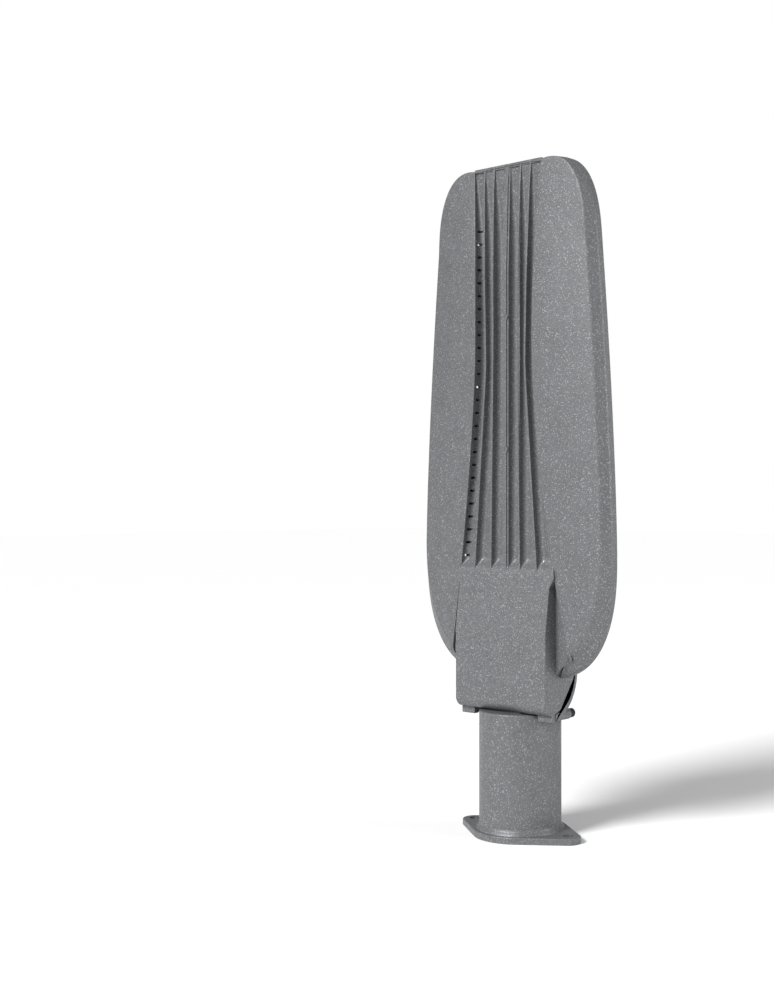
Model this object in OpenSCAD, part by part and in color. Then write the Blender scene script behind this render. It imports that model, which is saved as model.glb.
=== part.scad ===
// Head of a pole-top street lamp: a finned die-cast back with a light engine on the other side,
// a driver box with a hinged cover, and a pole spigot with a two-eared flange.
// Origin: centre of the flange's underside. +Z runs up the spigot to the tip, -Y is the finned
// back, +Y is the side that gives the light.

/* [Spigot] */
// Outer diameter of the spigot tube
tube_od = 68; // [60:1:80]
// Diameter of the pole that goes into the spigot
pole_d = 60; // [48:1:64]
// Clearance between pole and bore, on the diameter
pole_clearance = 1.4; // [0.6:0.2:2]
// Depth of the pole bore above the flange's underside
bore_depth = 76; // [50:1:80]
// Height of the tube's top above the flange's underside
tube_h = 102.4; // [95:0.1:103]
// Half width over the two flats at the tube's top
flat_half = 31; // [30:0.5:34]
// Height at which the flats start
flat_start = 80; // [60:1:90]
// Height at which the flats are full
flat_full = 95; // [70:1:97]
// Thickness of the flange
flange_t = 5.5; // [4:0.5:10]
// Radius of the flange's middle
flange_r = 39.5; // [37:0.5:46]
// Distance between the two bolt holes
bolt_spacing = 100; // [90:1:130]
// Diameter of a bolt hole
bolt_hole_d = 9; // [6:0.5:12]
// Radius of a flange ear
ear_r = 10.5; // [9:0.5:14]
// Diameter of the cable hole in the tube's top
cable_hole_d = 22; // [12:1:24]

/* [Head outline] */
// Greatest width of the head
head_w = 198; // [185:1:240]
// Height of the tip above the flange's underside
top_z = 551.3; // [500:0.1:670]
// Height at which the head is widest
widest_z = 229; // [220:1:240]
// Height of the rim's lowest point
low_z = 131; // [126:1:140]
// How much each side has drawn in at the tip
side_taper = 20.7; // [10:0.1:28]
// Half width of the flat top edge
top_flat = 40; // [30:1:45]
// Height of the rounded top corners
corner_h = 66; // [50:1:90]
// Crown of the top edge
top_crown = 1.2; // [0:0.1:3]
// Depth of the upright rim wall
rim_h = 7; // [5:0.5:10]
// Thickness of the casting's skin
skin = 2.5; // [2:0.1:3]

/* [Channel and fins] */
// Half width of the channel at its waist
waist_half = 29.6; // [28:0.1:34]
// Height of the waist
waist_z = 400; // [360:1:430]
// How far each channel edge has swung out at the tip
flare_top = 5; // [2:0.5:9]
// How far each channel edge has swung out at its low end
flare_low = 32.5; // [28:0.5:34]
// Depth of the channel edge at the waist, back from the light side
edge_depth_waist = 22.5; // [20:0.5:26]
// Depth of the channel edge at the tip
edge_depth_top = 17; // [14:0.5:20]
// Depth of the channel edge at its low end
edge_depth_low = 15.3; // [13:0.1:18]
// Depth of the crease where the deck turns into the bevel
crease_depth = 14.5; // [12:0.5:16]
// Width of the bevel along the sides
bevel_w = 5.5; // [3:0.5:8]
// Further width of the bevel round the foot
bevel_foot = 9; // [2:0.5:12]
// Depth of the fin crests, back from the light side
fin_depth = 20; // [18:0.5:22]
// Thickness of a thin fin
fin_t = 2; // [1.6:0.1:3]
// Width of the middle rib
rib_w = 7; // [4:0.5:9]
// Distance from the middle to the inner thin fins, at the tip
inner_fin_x = 13; // [11:0.5:16]
// Distance from the middle to the outer thin fins, at the waist
outer_fin_x = 20.3; // [19:0.1:23]
// Height at which the fins start below the tip
fin_top_gap = 5; // [4:0.5:12]
// Height of one louvre slot
louvre_h = 3.4; // [2.4:0.2:6]
// Pitch of the louvre slots
louvre_pitch = 10.77; // [9:0.01:16]

/* [Driver box] */
// Width of the driver box
box_w = 96; // [90:1:97]
// Depth of the box's back, away from the light side
box_depth = 27; // [26:0.5:32]
// How far the box's rim stands out on the light side
box_rise = 11; // [10:0.5:14]
// Wall of the box
box_wall = 3; // [2.5:0.5:4]
// Height at which the box's flat back meets the ramp
ramp_z = 165; // [158:1:172]
// Height at which the ramp meets the fins
ramp_top_z = 218; // [214:1:222]
// Height of the box's underside
box_low_z = 103.5; // [103:0.1:106]
// Radius of the box's lower back edge
box_fillet = 8; // [4:0.5:10]
// Height of the inside of the box's top wall
bay_top_z = 222; // [218:1:226]
// Height of the underside of the wall between pivot bay and driver bay
partition_z = 143; // [141:1:146]

/* [Tilt pivot] */
// Distance of the pivot behind the spigot's axis
pivot_back = 6; // [2:0.5:10]
// Height of the pivot
pivot_z = 128; // [124:0.5:129]
// Diameter of the pivot bolt
pivot_d = 8; // [6:1:10]
// Radius of the spigot's pivot ears
ear_eye_r = 11; // [9:0.5:12]
// Inner face of a pivot ear, from the middle
ear_in = 14; // [12:0.5:16]
// Outer face of a pivot ear, from the middle
ear_out = 26.3; // [22:0.1:28]
// Thickness of a toothed plate
tooth_plate_t = 2.3; // [1.5:0.1:3]
// Thickness of a pivot cheek in the box
cheek_t = 5; // [4:0.5:6]

/* [Cover] */
// Thickness of the cover at its rim
cover_t = 4.2; // [3.5:0.1:6]
// Thickness of the cover's skin
cover_skin = 2.2; // [1.8:0.1:3]
// Half width of the cover's cut-out round the neck
neck_cut_half = 33; // [31.5:0.5:35]
// Height of the cut-out's top
neck_cut_z = 131; // [128:0.5:134]
// Distance of the cover screws from the middle
cover_screw_x = 40; // [39:0.5:42]
// Height of the cover screws
cover_screw_z = 101.5; // [101:0.1:102.5]
// Diameter of a cover screw's shank
cover_screw_d = 4; // [3:0.5:4.5]
// Radius of a cover lug
lug_r = 4.5; // [4.3:0.1:4.6]
// Outer end of a cover lug
lug_end = 12; // [8:0.5:14]
// Diameter of a hinge pin
hinge_pin_d = 3; // [2:0.5:4]
// Radius of a hinge knuckle
knuckle_r = 3; // [2.6:0.1:3.2]

/* [Light engine] */
// Width of an LED board
board_w = 62; // [50:1:64]
// Thickness of an LED board
board_t = 1.6; // [1:0.1:2]
// Depth of the face that the boards sit on
seat_depth = 8; // [7.6:0.1:9]
// Thickness of the thermal pads
pad_t = 0.5; // [0.3:0.1:1]
// Rows of LEDs on one board
led_rows = 7; // [4:1:8]
// Columns of LEDs on one board
led_cols = 4; // [2:1:4]
// Side of one LED package
led_size = 3; // [2:0.5:5]
// Thickness of the front frame
frame_t = 2; // [1.5:0.1:2.2]
// Width of an air vent in the front frame
vent_w = 8; // [5:0.5:10]
// Height of an air vent in the front frame
vent_h = 9; // [6:0.5:14]
// Radius of one lens dome
dome_r = 6; // [4:0.5:6]

/* [Fits] */
// Gap between faces of pieces that move against each other
gap = 0.3; // [0.2:0.05:0.6]
// Gap between pieces fastened together
seat = 0.05; // [0.02:0.01:0.1]
// Radial clearance of a running fit
running = 0.06; // [0.01:0.01:0.1]

/* [Hidden] */

coat = [0.50, 0.51, 0.53];
steel = [0.72, 0.72, 0.74];
black = [0.06, 0.06, 0.07];
white = [0.93, 0.93, 0.92];
silicone = [0.35, 0.36, 0.38];
clear_lens = [0.85, 0.90, 0.94, 0.6];
phosphor = [0.95, 0.8, 0.2];
red = [0.75, 0.1, 0.08];
brass = [0.75, 0.62, 0.25];

// Head outline: the right-hand rim from the box round the side to the top edge
half_w = head_w / 2;
corner_z = top_z - corner_h;
corner_top = top_z - top_crown;
foot_x = 31;
foot_power = 2.45;
corner_power = 2.65;
box_half = box_w / 2;
foot_start = acos(pow((box_half - foot_x) / (half_w - foot_x), foot_power / 2));
foot_steps = 9;
side_steps = 8;
corner_steps = 9;

function side_x(z) = half_w - side_taper * pow(max(0, z - widest_z) / (top_z - widest_z), 1.47);
function foot_point(t) = [
    foot_x + (half_w - foot_x) * pow(cos(t), 2 / foot_power),
    widest_z - (widest_z - low_z) * pow(sin(t), 2 / foot_power)];
function corner_at(z, t) = [
    top_flat + (side_x(z) - top_flat) * pow(max(0, cos(t)), 2 / corner_power), z];
function corner_point(t) =
    corner_at(corner_z + (corner_top - corner_z) * pow(sin(t), 2 / corner_power), t);
function side_z(i) = widest_z + (corner_z - widest_z) * i / side_steps;
rim_right = concat(
    [for (i = [0:foot_steps - 1]) foot_point(foot_start * (1 - i / foot_steps))],
    [for (i = [0:side_steps - 1]) [side_x(side_z(i)), side_z(i)]],
    [for (i = [0:corner_steps]) corner_point(90 * i / corner_steps)]);
rim_count = len(rim_right);
top_points = [[top_flat / 2, top_z - top_crown / 4], [-top_flat / 2, top_z - top_crown / 4]];
rim_outline = concat(rim_right, top_points,
    [for (i = [rim_count - 1:-1:0]) [-rim_right[i][0], rim_right[i][1]]]);

// Channel edge, in height
edge_low_z = low_z + 17;
edge_top_z = top_z - 3.3;
function edge_x(z) = z >= waist_z
    ? waist_half + flare_top * pow((z - waist_z) / (edge_top_z - waist_z), 2.2)
    : waist_half + flare_low * pow((waist_z - z) / (waist_z - edge_low_z), 1.672);
function edge_y(z) = z >= waist_z
    ? -edge_depth_waist + (edge_depth_waist - edge_depth_top)
        * pow((z - waist_z) / (edge_top_z - waist_z), 2)
    : -edge_depth_waist + (edge_depth_waist - edge_depth_low)
        * pow((waist_z - z) / (waist_z - edge_low_z), 2);
edge_steps = 24;
edge_zs = [for (i = [0:edge_steps]) edge_low_z + (edge_top_z - edge_low_z) * i / edge_steps];

// Channel floor, from the ramp to the tip
floor_low_z = ramp_top_z;
floor_mid_depth = 12;
floor_low_depth = 14.3;
floor_span = (top_z - fin_top_gap) - floor_low_z;
function floor_y(z) = -floor_mid_depth - (z < waist_z - 20
    ? (floor_low_depth - floor_mid_depth) * pow((waist_z - 20 - z) / (waist_z - 20 - floor_low_z), 1.5)
    : (edge_depth_top - floor_mid_depth) * pow((z - waist_z + 20) / (top_z - waist_z + 20), 1.6));
floor_zs = [for (i = [0:12]) floor_low_z + floor_span * i / 12];
louvre_drop = 3.2;

// Box
box_front = -box_depth;
box_back = box_rise;
bay_half = box_half - 4;
box_top_z = bay_top_z + 4;
sweep_y = -20;
sweep_z = 137;
sweep_ry = box_back - sweep_y;
sweep_rz = sweep_z - box_low_z;
lip_front = -19;
lip_back = -13.5;
lip_low = 97.7;
partition_t = 3;

// Pivot
pivot_y = -pivot_back;
pivot_r = pivot_d / 2;
tooth_in = ear_out + gap;
cheek_in = tooth_in + tooth_plate_t + seat;
cheek_out = cheek_in + cheek_t;

// Cover and hinge
cover_in_y = box_back + gap;
cover_out_y = cover_in_y + cover_t;
cover_top_z = box_top_z - 0.5;
hinge_y = cover_in_y + 0.9;
hinge_z = box_top_z + knuckle_r + 0.3;
cover_screw_r = cover_screw_d / 2;
ear_knuckle = [37, 43];
cover_knuckle = [29, 36.7];
screw_head_h = 5.2;
washer_t = 0.8;
lug_start = -7;
gasket_w = 1.8;
gasket_mid_x = box_half - 2;

// Light engine stack, from the casting to the frame
seat_y = -seat_depth;
board_y = seat_y + pad_t + seat;
board_face = board_y + board_t;
chip_t = 0.7;
lens_y = board_face + chip_t + 0.5;
lens_t = 2.3;
lens_w = board_w + 12;
board_gap = 10;
engine_low = box_top_z + 18;
engine_top = top_z - 17;
board_len = (engine_top - engine_low - board_gap) / 2;
lower_z = engine_low + board_len / 2;
upper_z = engine_top - board_len / 2;
frame_y = -frame_t;
frame_window_half = lens_w / 2 - 2;
frame_inset = skin + 1.3;
first_louvre_z = widest_z;
vent_louvres = [0, 13, 23];
function vent_spot(i) = let(z = first_louvre_z + i * louvre_pitch) [edge_x(z) + 16, z + 0.045 * (z - widest_z) - 1];
boss_root = -crease_depth - 1.9;
frame_screw_spots = concat(
    [for (s = [-1, 1], f = [0.07, 0.38, 0.7]) let(z = engine_low + f * (engine_top - engine_low))
        [s * (side_x(z) - 21), z]],
    [for (s = [-1, 1]) [s * (top_flat + 18), top_z - 29]]);

// Driver bay
tray_y = -15.5;
tray_t = 1.2;
tray_face = tray_y + tray_t;
tray_half = bay_half - 0.6;
tray_low = partition_z + partition_t + 1;
tray_top = bay_top_z - 4;
tray_spots = [for (s = [-1, 1], z = [tray_low + 5, tray_top - 5]) [s * (tray_half - 3), z]];
earth_spot = [tray_half - 3, (tray_low + tray_top) / 2];
driver_x = [-37, 14];
driver_z = [tray_low + 5, tray_top - 4];
driver_deep = 19;
vent_r = 2.5;
breather_x = (cheek_out + bay_half) / 2;
side_x0 = 17;
side_x1 = 37.5;

module along_x(a, b) {
    translate([a, 0, 0]) rotate([90, 0, 90]) linear_extrude(b - a) children();
}

module along_y(a, b) {
    translate([0, b, 0]) rotate([90, 0, 0]) linear_extrude(b - a) children();
}

module block(x, y, z) {
    translate([x[0], y[0], z[0]]) cube([x[1] - x[0], y[1] - y[0], z[1] - z[0]]);
}

module rod_x(r, x0, x1, y, z, sides = 48) {
    translate([x0, y, z]) rotate([0, 90, 0]) cylinder(r = r, h = x1 - x0, $fn = sides);
}

module rod_y(r, y0, y1, x, z, sides = 48) {
    translate([x, y1, z]) rotate([90, 0, 0]) cylinder(r = r, h = y1 - y0, $fn = sides);
}

module rod_z(r, z0, z1, x, y, sides = 48) {
    translate([x, y, z0]) cylinder(r = r, h = z1 - z0, $fn = sides);
}

// A screw along Y with its head towards +Y
module screw_y(x, z, y_seat, r, length, head_r, head_h, socket_r) {
    difference() {
        union() {
            rod_y(r, y_seat - length, y_seat + 0.1, x, z, 24);
            rod_y(head_r, y_seat, y_seat + head_h, x, z, 32);
        }
        rod_y(socket_r, y_seat + head_h * 0.45, y_seat + head_h + 1, x, z, 6);
    }
}

// A wire of round section along a list of points
function ring_at(path, i) = let(
    n = len(path) - 1,
    d = path[min(n, i + 1)] - path[max(0, i - 1)],
    t = d / norm(d),
    side = cross(abs(t[0]) < 0.9 ? [1, 0, 0] : [0, 1, 0], t),
    u = side / norm(side),
    v = cross(t, u)) [u, v];
module wire(path, d) {
    sides = 8;
    n = len(path);
    points = [for (i = [0:n - 1]) let(f = ring_at(path, i)) for (k = [0:sides - 1])
        path[i] + d / 2 * (cos(k * 360 / sides) * f[0] + sin(k * 360 / sides) * f[1])];
    walls = [for (i = [0:n - 2], k = [0:sides - 1])
        [i * sides + k, i * sides + (k + 1) % sides, (i + 1) * sides + (k + 1) % sides,
            (i + 1) * sides + k]];
    ends = [[for (k = [sides - 1:-1:0]) k], [for (k = [0:sides - 1]) (n - 1) * sides + k]];
    polyhedron(points, concat(walls, ends), convexity = 4);
}

function edge_curve(offset_x) = concat(
    [for (z = edge_zs) [edge_x(z) + offset_x, z]]);
module channel_plan(offset_x) {
    right = edge_curve(offset_x);
    polygon(concat(right, [for (i = [len(right) - 1:-1:0]) [-right[i][0], right[i][1]]]));
}

// Wing deck: rows run from the channel edge to the rim
deck_shares = [0, 0.3, 0.6, 0.85, 1];
function row_bevel(p) = p[1] > corner_z
    ? bevel_w - (bevel_w - 2.5) * (p[1] - corner_z) / (corner_top - corner_z)
    : bevel_w + bevel_foot * pow(max(0, widest_z + 10 - p[1]) / (widest_z + 10 - low_z), 1.3);
function row_edge_z(p) = edge_low_z
    + (edge_top_z - edge_low_z) * (p[1] - low_z) / (top_z - low_z);
function deck_point(p, k) = let(
    z = row_edge_z(p),
    a = [edge_x(z), z],
    run = norm(p - a),
    crease = max(0.3, 1 - row_bevel(p) / run),
    y0 = edge_y(z),
    y1 = max(y0, -crease_depth - (p[1] > corner_z
        ? 1.8 * (p[1] - corner_z) / (corner_top - corner_z) : 0)),
    last = k == len(deck_shares),
    share = last ? 1 : deck_shares[k] * crease,
    xz = a + (p - a) * share)
    [xz[0], last ? -rim_h : y0 + (y1 - y0) * pow(deck_shares[k], 1.8), xz[1]];
function deck_under(p, k) = let(
    q = deck_point(p, k),
    z = row_edge_z(p),
    a = [edge_x(z), z],
    run = norm(p - a),
    back = (p - a) / run * skin)
    k == len(deck_shares) ? [q[0] - back[0], -rim_h + 1.2, q[2] - back[1]]
        : [q[0] - (k == len(deck_shares) - 1 ? back[0] * 0.6 : 0), q[1] + skin,
            q[2] - (k == len(deck_shares) - 1 ? back[1] * 0.6 : 0)];
module wing_deck() {
    rows = len(rim_right);
    cols = len(deck_shares) + 1;
    size = rows * cols;
    points = concat(
        [for (p = rim_right, k = [0:cols - 1]) deck_point(p, k)],
        [for (p = rim_right, k = [0:cols - 1]) deck_under(p, k)]);
    top_faces = [for (i = [0:rows - 2], k = [0:cols - 2])
        for (f = [[i * cols + k, (i + 1) * cols + k, (i + 1) * cols + k + 1],
            [i * cols + k, (i + 1) * cols + k + 1, i * cols + k + 1]]) f];
    low_faces = [for (f = top_faces) [f[2] + size, f[1] + size, f[0] + size]];
    inner_side = [for (i = [0:rows - 2])
        for (f = [[i * cols, i * cols + size, (i + 1) * cols + size],
            [i * cols, (i + 1) * cols + size, (i + 1) * cols]]) f];
    outer_side = [for (i = [0:rows - 2]) let(a = i * cols + cols - 1, b = a + cols)
        for (f = [[a, b, b + size], [a, b + size, a + size]]) f];
    first_end = [for (k = [0:cols - 2])
        for (f = [[k, k + 1, k + 1 + size], [k, k + 1 + size, k + size]]) f];
    last = (rows - 1) * cols;
    last_end = [for (k = [0:cols - 2])
        for (f = [[last + k, last + k + size, last + k + 1 + size],
            [last + k, last + k + 1 + size, last + k + 1]]) f];
    polyhedron(points, concat(top_faces, low_faces, inner_side, outer_side, first_end, last_end),
        convexity = 8);
}

module rim_plan(inset) {
    inner = [for (p = rim_outline) let(
        m = [0, (low_z + top_z) / 2],
        d = p - m) p - inset * [sign(p[0]) * min(1, abs(d[0]) / 60), sign(d[1])
            * pow(min(1, abs(d[1]) / (top_z - m[1])), 12)]];
    polygon(inner);
}

module rim_wall() {
    along_y(-rim_h - 0.6, 0) difference() {
        polygon(rim_outline);
        rim_plan(skin);
    }
}

module channel_walls() {
    intersection() {
        along_y(-40, seat_y - 0.2) difference() {
            channel_plan(0.6 + skin);
            channel_plan(0.6);
            translate([-half_w, edge_top_z - 0.1]) square([head_w, 20]);
            translate([-half_w, edge_low_z - 20]) square([head_w, 20.1]);
        }
        along_x(-half_w, half_w) polygon(concat(
            [for (z = edge_zs) [edge_y(z) + 1.2, z]],
            [[0, edge_top_z], [0, edge_low_z]]));
    }
}

module channel_floor() {
    intersection() {
        along_y(-40, seat_y - 0.3) channel_plan(2);
        along_x(-half_w, half_w) polygon(concat(
            [for (z = floor_zs) [floor_y(z), z]],
            [[-edge_depth_top + 0.4, top_z - fin_top_gap], [-edge_depth_top + 0.4, edge_top_z - 0.2],
                [0, edge_top_z - 0.2], [0, floor_low_z]]));
    }
}

// Fin centre lines
function bend(u) = (u + sqrt(u * u + 400)) / 2;
function inner_fin(z) = inner_fin_x + 1.3 * (top_z - z) / (top_z - ramp_top_z);
function outer_fin(z) = outer_fin_x - 0.9 + 0.0675 * bend(waist_z - 15 - z)
    + 0.019 * bend(z - waist_z + 15);
fin_zs = [for (i = [0:16]) ramp_top_z + (top_z - fin_top_gap - ramp_top_z) * i / 16];
module fin_plan(centre, half) {
    polygon(concat([for (i = [0:16]) [centre[i] + half, fin_zs[i]]],
        [for (i = [16:-1:0]) [centre[i] - half, fin_zs[i]]]));
}

module fins() {
    inner_line = [for (z = fin_zs) inner_fin(z)];
    outer_line = [for (z = fin_zs) outer_fin(z)];
    intersection() {
        along_y(-fin_depth, -9.5) {
            for (s = [0, 1]) mirror([s, 0, 0]) {
                fin_plan(inner_line, fin_t / 2);
                fin_plan(outer_line, fin_t / 2);
            }
            translate([-rib_w / 2, ramp_top_z - 8])
                square([rib_w, top_z - fin_top_gap - ramp_top_z + 8]);
        }
        along_x(-half_w, half_w) polygon([[-fin_depth - 1, ramp_top_z - 9],
            [-fin_depth - 1, waist_z + 60], [-fin_depth, waist_z + 60],
            [-edge_depth_top - 1, top_z - fin_top_gap - 16],
            [-edge_depth_top + 0.2, top_z - fin_top_gap + 1], [0, top_z - fin_top_gap + 1],
            [0, ramp_top_z - 9]]);
    }
}

module louvres() {
    count = floor((top_z - 48 - first_louvre_z) / louvre_pitch);
    for (i = [0:count]) let(z = first_louvre_z + i * louvre_pitch)
        for (s = [-1, 1])
            block([s > 0 ? edge_x(z) - 2 : -edge_x(z) - 5, s > 0 ? edge_x(z) + 5 : -edge_x(z) + 2],
                [edge_y(z) + louvre_drop, edge_y(z) + louvre_drop + 4.8],
                [z - louvre_h / 2, z + louvre_h / 2]);
}

// Sweep round the box's lower end, as points from the front lip to the light side
function sweep(ry, rz, from_y) = let(start = acos((from_y - sweep_y) / ry))
    [for (i = [0:10]) let(t = start * (1 - i / 10)) [sweep_y + ry * cos(t), sweep_z - rz * sin(t)]];

module box_profile(inset) {
    low = box_low_z + inset;
    front = box_front + inset;
    r = box_fillet - inset * 0.6;
    polygon(concat(
        [[front, ramp_z - inset * 0.15]],
        [for (i = [0:6]) [front + r - r * cos(i * 15), low + r - r * sin(i * 15)]],
        sweep(sweep_ry - inset, sweep_rz - inset, front + r + 1),
        [[box_back - inset, box_top_z - inset], [seat_y - 1, box_top_z - inset],
            [-fin_depth + inset, ramp_top_z]]));
}

module housing() {
    color(coat) difference() {
        union() {
            difference() {
                union() {
                    rim_wall();
                    for (s = [0, 1]) mirror([s, 0, 0]) wing_deck();
                    channel_walls();
                    channel_floor();
                    fins();
                    along_x(-box_half, box_half) box_profile(0);
                    // Face that carries the light engine, and the end wall above it
                    block([-36, 36], [seat_y - 2.6, seat_y], [box_top_z - 1, top_z - 2.5]);
                    block([-36.5, 36.5], [-edge_depth_top, -0.5], [edge_top_z - 0.5, corner_top]);
                    // Valley floors between the box and the wings
                    for (s = [0, 1]) mirror([s, 0, 0])
                        along_y(-11.5, -8.5) polygon([[box_half - 1, low_z + 4],
                            [edge_x(edge_low_z) + 1, edge_low_z + 2],
                            [edge_x(ramp_top_z) + 2, ramp_top_z + 6], [box_half - 1, ramp_top_z + 6]]);
                    // Ears for the cover's hinge pins
                    for (s = [0, 1]) mirror([s, 0, 0]) {
                        block(ear_knuckle, [box_back - 6, box_back], [box_top_z - 1, hinge_z]);
                        rod_x(knuckle_r, ear_knuckle[0], ear_knuckle[1], hinge_y, hinge_z);
                    }
                    // Bosses for the frame screws
                    for (p = frame_screw_spots) rod_y(3.2, boss_root, frame_y - seat, p[0], p[1], 32);
                }
                // Driver bay and pivot bay
                difference() {
                    along_x(-bay_half, bay_half) box_profile(box_wall);
                    block([-60, 60], [-40, 40], [partition_z, partition_z + partition_t]);
                }
                block([-bay_half, bay_half], [-7, box_back + 5],
                    [partition_z + partition_t, bay_top_z]);
                block([-neck_cut_half - 0.5, neck_cut_half + 0.5], [lip_front, 40],
                    [90, partition_z]);
                louvres();
                rod_z(3.4, bay_top_z - 1, box_top_z + 1, 0, -4.4, 32);
            }
            // Lips that the cover screws go into
            for (s = [0, 1]) mirror([s, 0, 0])
                block([neck_cut_half + 0.6, box_half - 0.2], [lip_front, lip_back],
                    [lip_low, box_low_z + 2.4]);
            // Cheeks of the tilt pivot
            for (s = [0, 1]) mirror([s, 0, 0])
                block([cheek_in, cheek_out], [box_front + 2, pivot_y + 11],
                    [pivot_z - 11, partition_z + 1]);
            // Posts of the gear tray
            for (p = tray_spots)
                rod_y(3, p[1] > ramp_z ? -19.5 : box_front + 2, tray_y - seat, p[0], p[1], 32);
        }
        rod_x(pivot_r + 0.2, -cheek_out - 1, cheek_out + 1, pivot_y, pivot_z);
        for (s = [0, 1]) mirror([s, 0, 0]) {
            rod_x(hinge_pin_d / 2 + 0.01, ear_knuckle[0] - 1, ear_knuckle[1] + 1, hinge_y, hinge_z, 24);
            rod_y(3.4, lip_front + 1, lip_back + 1, cover_screw_x, cover_screw_z);
        }
        for (p = tray_spots) rod_y(1.6, tray_y - 4, tray_y + 1, p[0], p[1], 24);
        for (p = frame_screw_spots) rod_y(1.6, frame_y - 7, frame_y + 1, p[0], p[1], 24);
        rod_z(8.2, partition_z - 1, partition_z + partition_t + 1, 0, -4);
        rod_z(vent_r + 0.1, partition_z - 1, partition_z + partition_t + 1, -breather_x, -4, 32);
    }
}

module flange_plan() {
    reach = bolt_spacing / 2;
    t = acos((flange_r - ear_r) / reach);
    circle(r = flange_r, $fn = 96);
    for (s = [-1, 1]) translate([s * reach, 0]) circle(r = ear_r, $fn = 48);
    corner = [flange_r * cos(t), flange_r * sin(t)];
    end = [reach + ear_r * cos(t), ear_r * sin(t)];
    polygon([corner, end, [end[0], -end[1]], [corner[0], -corner[1]],
        [-corner[0], -corner[1]], [-end[0], -end[1]], [-end[0], end[1]], [-corner[0], corner[1]]]);
}

module spigot() {
    tube_r = tube_od / 2;
    bore_r = (pole_d + pole_clearance) / 2;
    color(coat) difference() {
        union() {
            linear_extrude(flange_t) flange_plan();
            rotate_extrude($fn = 96) polygon([[0, 0], [tube_r + 2.5, 0], [tube_r + 2.5, flange_t],
                [tube_r, flange_t + 2.5], [tube_r, tube_h - 0.8], [tube_r - 0.8, tube_h],
                [0, tube_h]]);
            for (s = [0, 1]) mirror([s, 0, 0]) {
                rod_x(ear_eye_r, ear_in, ear_out, pivot_y, pivot_z, 64);
                block([ear_in, ear_out], [pivot_y - ear_eye_r, pivot_y + ear_eye_r],
                    [tube_h - 2, pivot_z]);
            }
        }
        for (s = [0, 1]) mirror([s, 0, 0]) along_y(-tube_od, tube_od)
            polygon([[tube_r + 0.01, flat_start], [flat_half, flat_full], [flat_half, tube_h + 1],
                [tube_od, tube_h + 1], [tube_od, flat_start]]);
        rod_z(bore_r, -1, bore_depth, 0, 0, 96);
        rod_z(bore_r - 7, bore_depth - 1, tube_h - 6, 0, 0, 96);
        rod_z(cable_hole_d / 2, tube_h - 8, tube_h + 1, 0, 0);
        rod_x(pivot_r + running, -ear_out - 1, ear_out + 1, pivot_y, pivot_z);
        for (s = [-1, 1]) rod_z(bolt_hole_d / 2, -1, flange_t + 1, s * bolt_spacing / 2, 0);
    }
}

module front_frame() {
    color(coat) difference() {
        along_y(frame_y, 0) difference() {
            rim_plan(frame_inset);
            translate([-box_half - 1, 0]) square([box_w + 2, box_top_z + 8]);
            for (z = [lower_z, upper_z])
                translate([-frame_window_half, z - board_len / 2 - 0.5])
                    square([2 * frame_window_half, board_len + 1]);
            for (s = [-1, 1], i = vent_louvres) let(p = vent_spot(i))
                translate([s * p[0] - vent_w / 2, p[1] - vent_h / 2]) square([vent_w, vent_h]);
        }
        for (p = frame_screw_spots) rod_y(2, frame_y - 1, 1, p[0], p[1], 24);
    }
}

module frame_gasket() {
    color(silicone) along_y(frame_y - 1.2, frame_y - seat) difference() {
        rim_plan(frame_inset + 0.3);
        rim_plan(frame_inset + 2.3);
        translate([-box_half - 3, 0]) square([box_w + 6, box_top_z + 8]);
    }
}

module frame_screws() {
    color(steel) for (p = frame_screw_spots) screw_y(p[0], p[1], seat, 1.5, 7, 3, 1.6, 1.1);
}

module board(z) {
    block([-board_w / 2, board_w / 2], [board_y, board_face], [z - board_len / 2, z + board_len / 2]);
}

led_pitch_x = 15;
led_pitch_z = board_len / (led_rows + 0.4);
function led_spots(z) = [for (i = [0:led_cols - 1], j = [0:led_rows - 1])
    [(i - (led_cols - 1) / 2) * led_pitch_x, z + (j - (led_rows - 1) / 2) * led_pitch_z]];

module led_board_upper() { color(white) board(upper_z); }

module led_board_lower() { color(white) board(lower_z); }

module chips(z) {
    for (p = led_spots(z)) block([p[0] - led_size / 2, p[0] + led_size / 2],
        [board_face + 0.02, board_face + chip_t], [p[1] - led_size / 2, p[1] + led_size / 2]);
}

module led_chips_upper() { color(phosphor) chips(upper_z); }

module led_chips_lower() { color(phosphor) chips(lower_z); }

module thermal_pads() {
    color([0.6, 0.65, 0.7]) for (z = [lower_z, upper_z])
        block([-board_w / 2 + 1, board_w / 2 - 1], [seat_y + 0.02, board_y - 0.02],
            [z - board_len / 2 + 1, z + board_len / 2 - 1]);
}

module lens(z) {
    color(clear_lens) {
        block([-lens_w / 2, lens_w / 2], [lens_y, lens_y + lens_t],
            [z - board_len / 2 - 4, z + board_len / 2 + 4]);
        intersection() {
            for (p = led_spots(z)) translate([p[0], lens_y + lens_t - 1.5, p[1]])
                sphere(r = dome_r, $fn = 32);
            block([-lens_w / 2, lens_w / 2], [lens_y + lens_t - 0.5, 10],
                [z - board_len / 2, z + board_len / 2]);
        }
    }
}

module lens_upper() { lens(upper_z); }

module lens_lower() { lens(lower_z); }

module lens_gaskets() {
    color(silicone) for (z = [lower_z, upper_z]) along_y(seat_y + seat, lens_y - seat) difference() {
        translate([-lens_w / 2 + 0.5, z - board_len / 2 - 3.5])
            square([lens_w - 1, board_len + 7]);
        translate([-lens_w / 2 + 3, z - board_len / 2 - 1]) square([lens_w - 6, board_len + 2]);
        translate([-3.2, connector_z[0] - 20]) square([6.4, connector_z[2] - connector_z[0] + 20]);
    }
}

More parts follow.
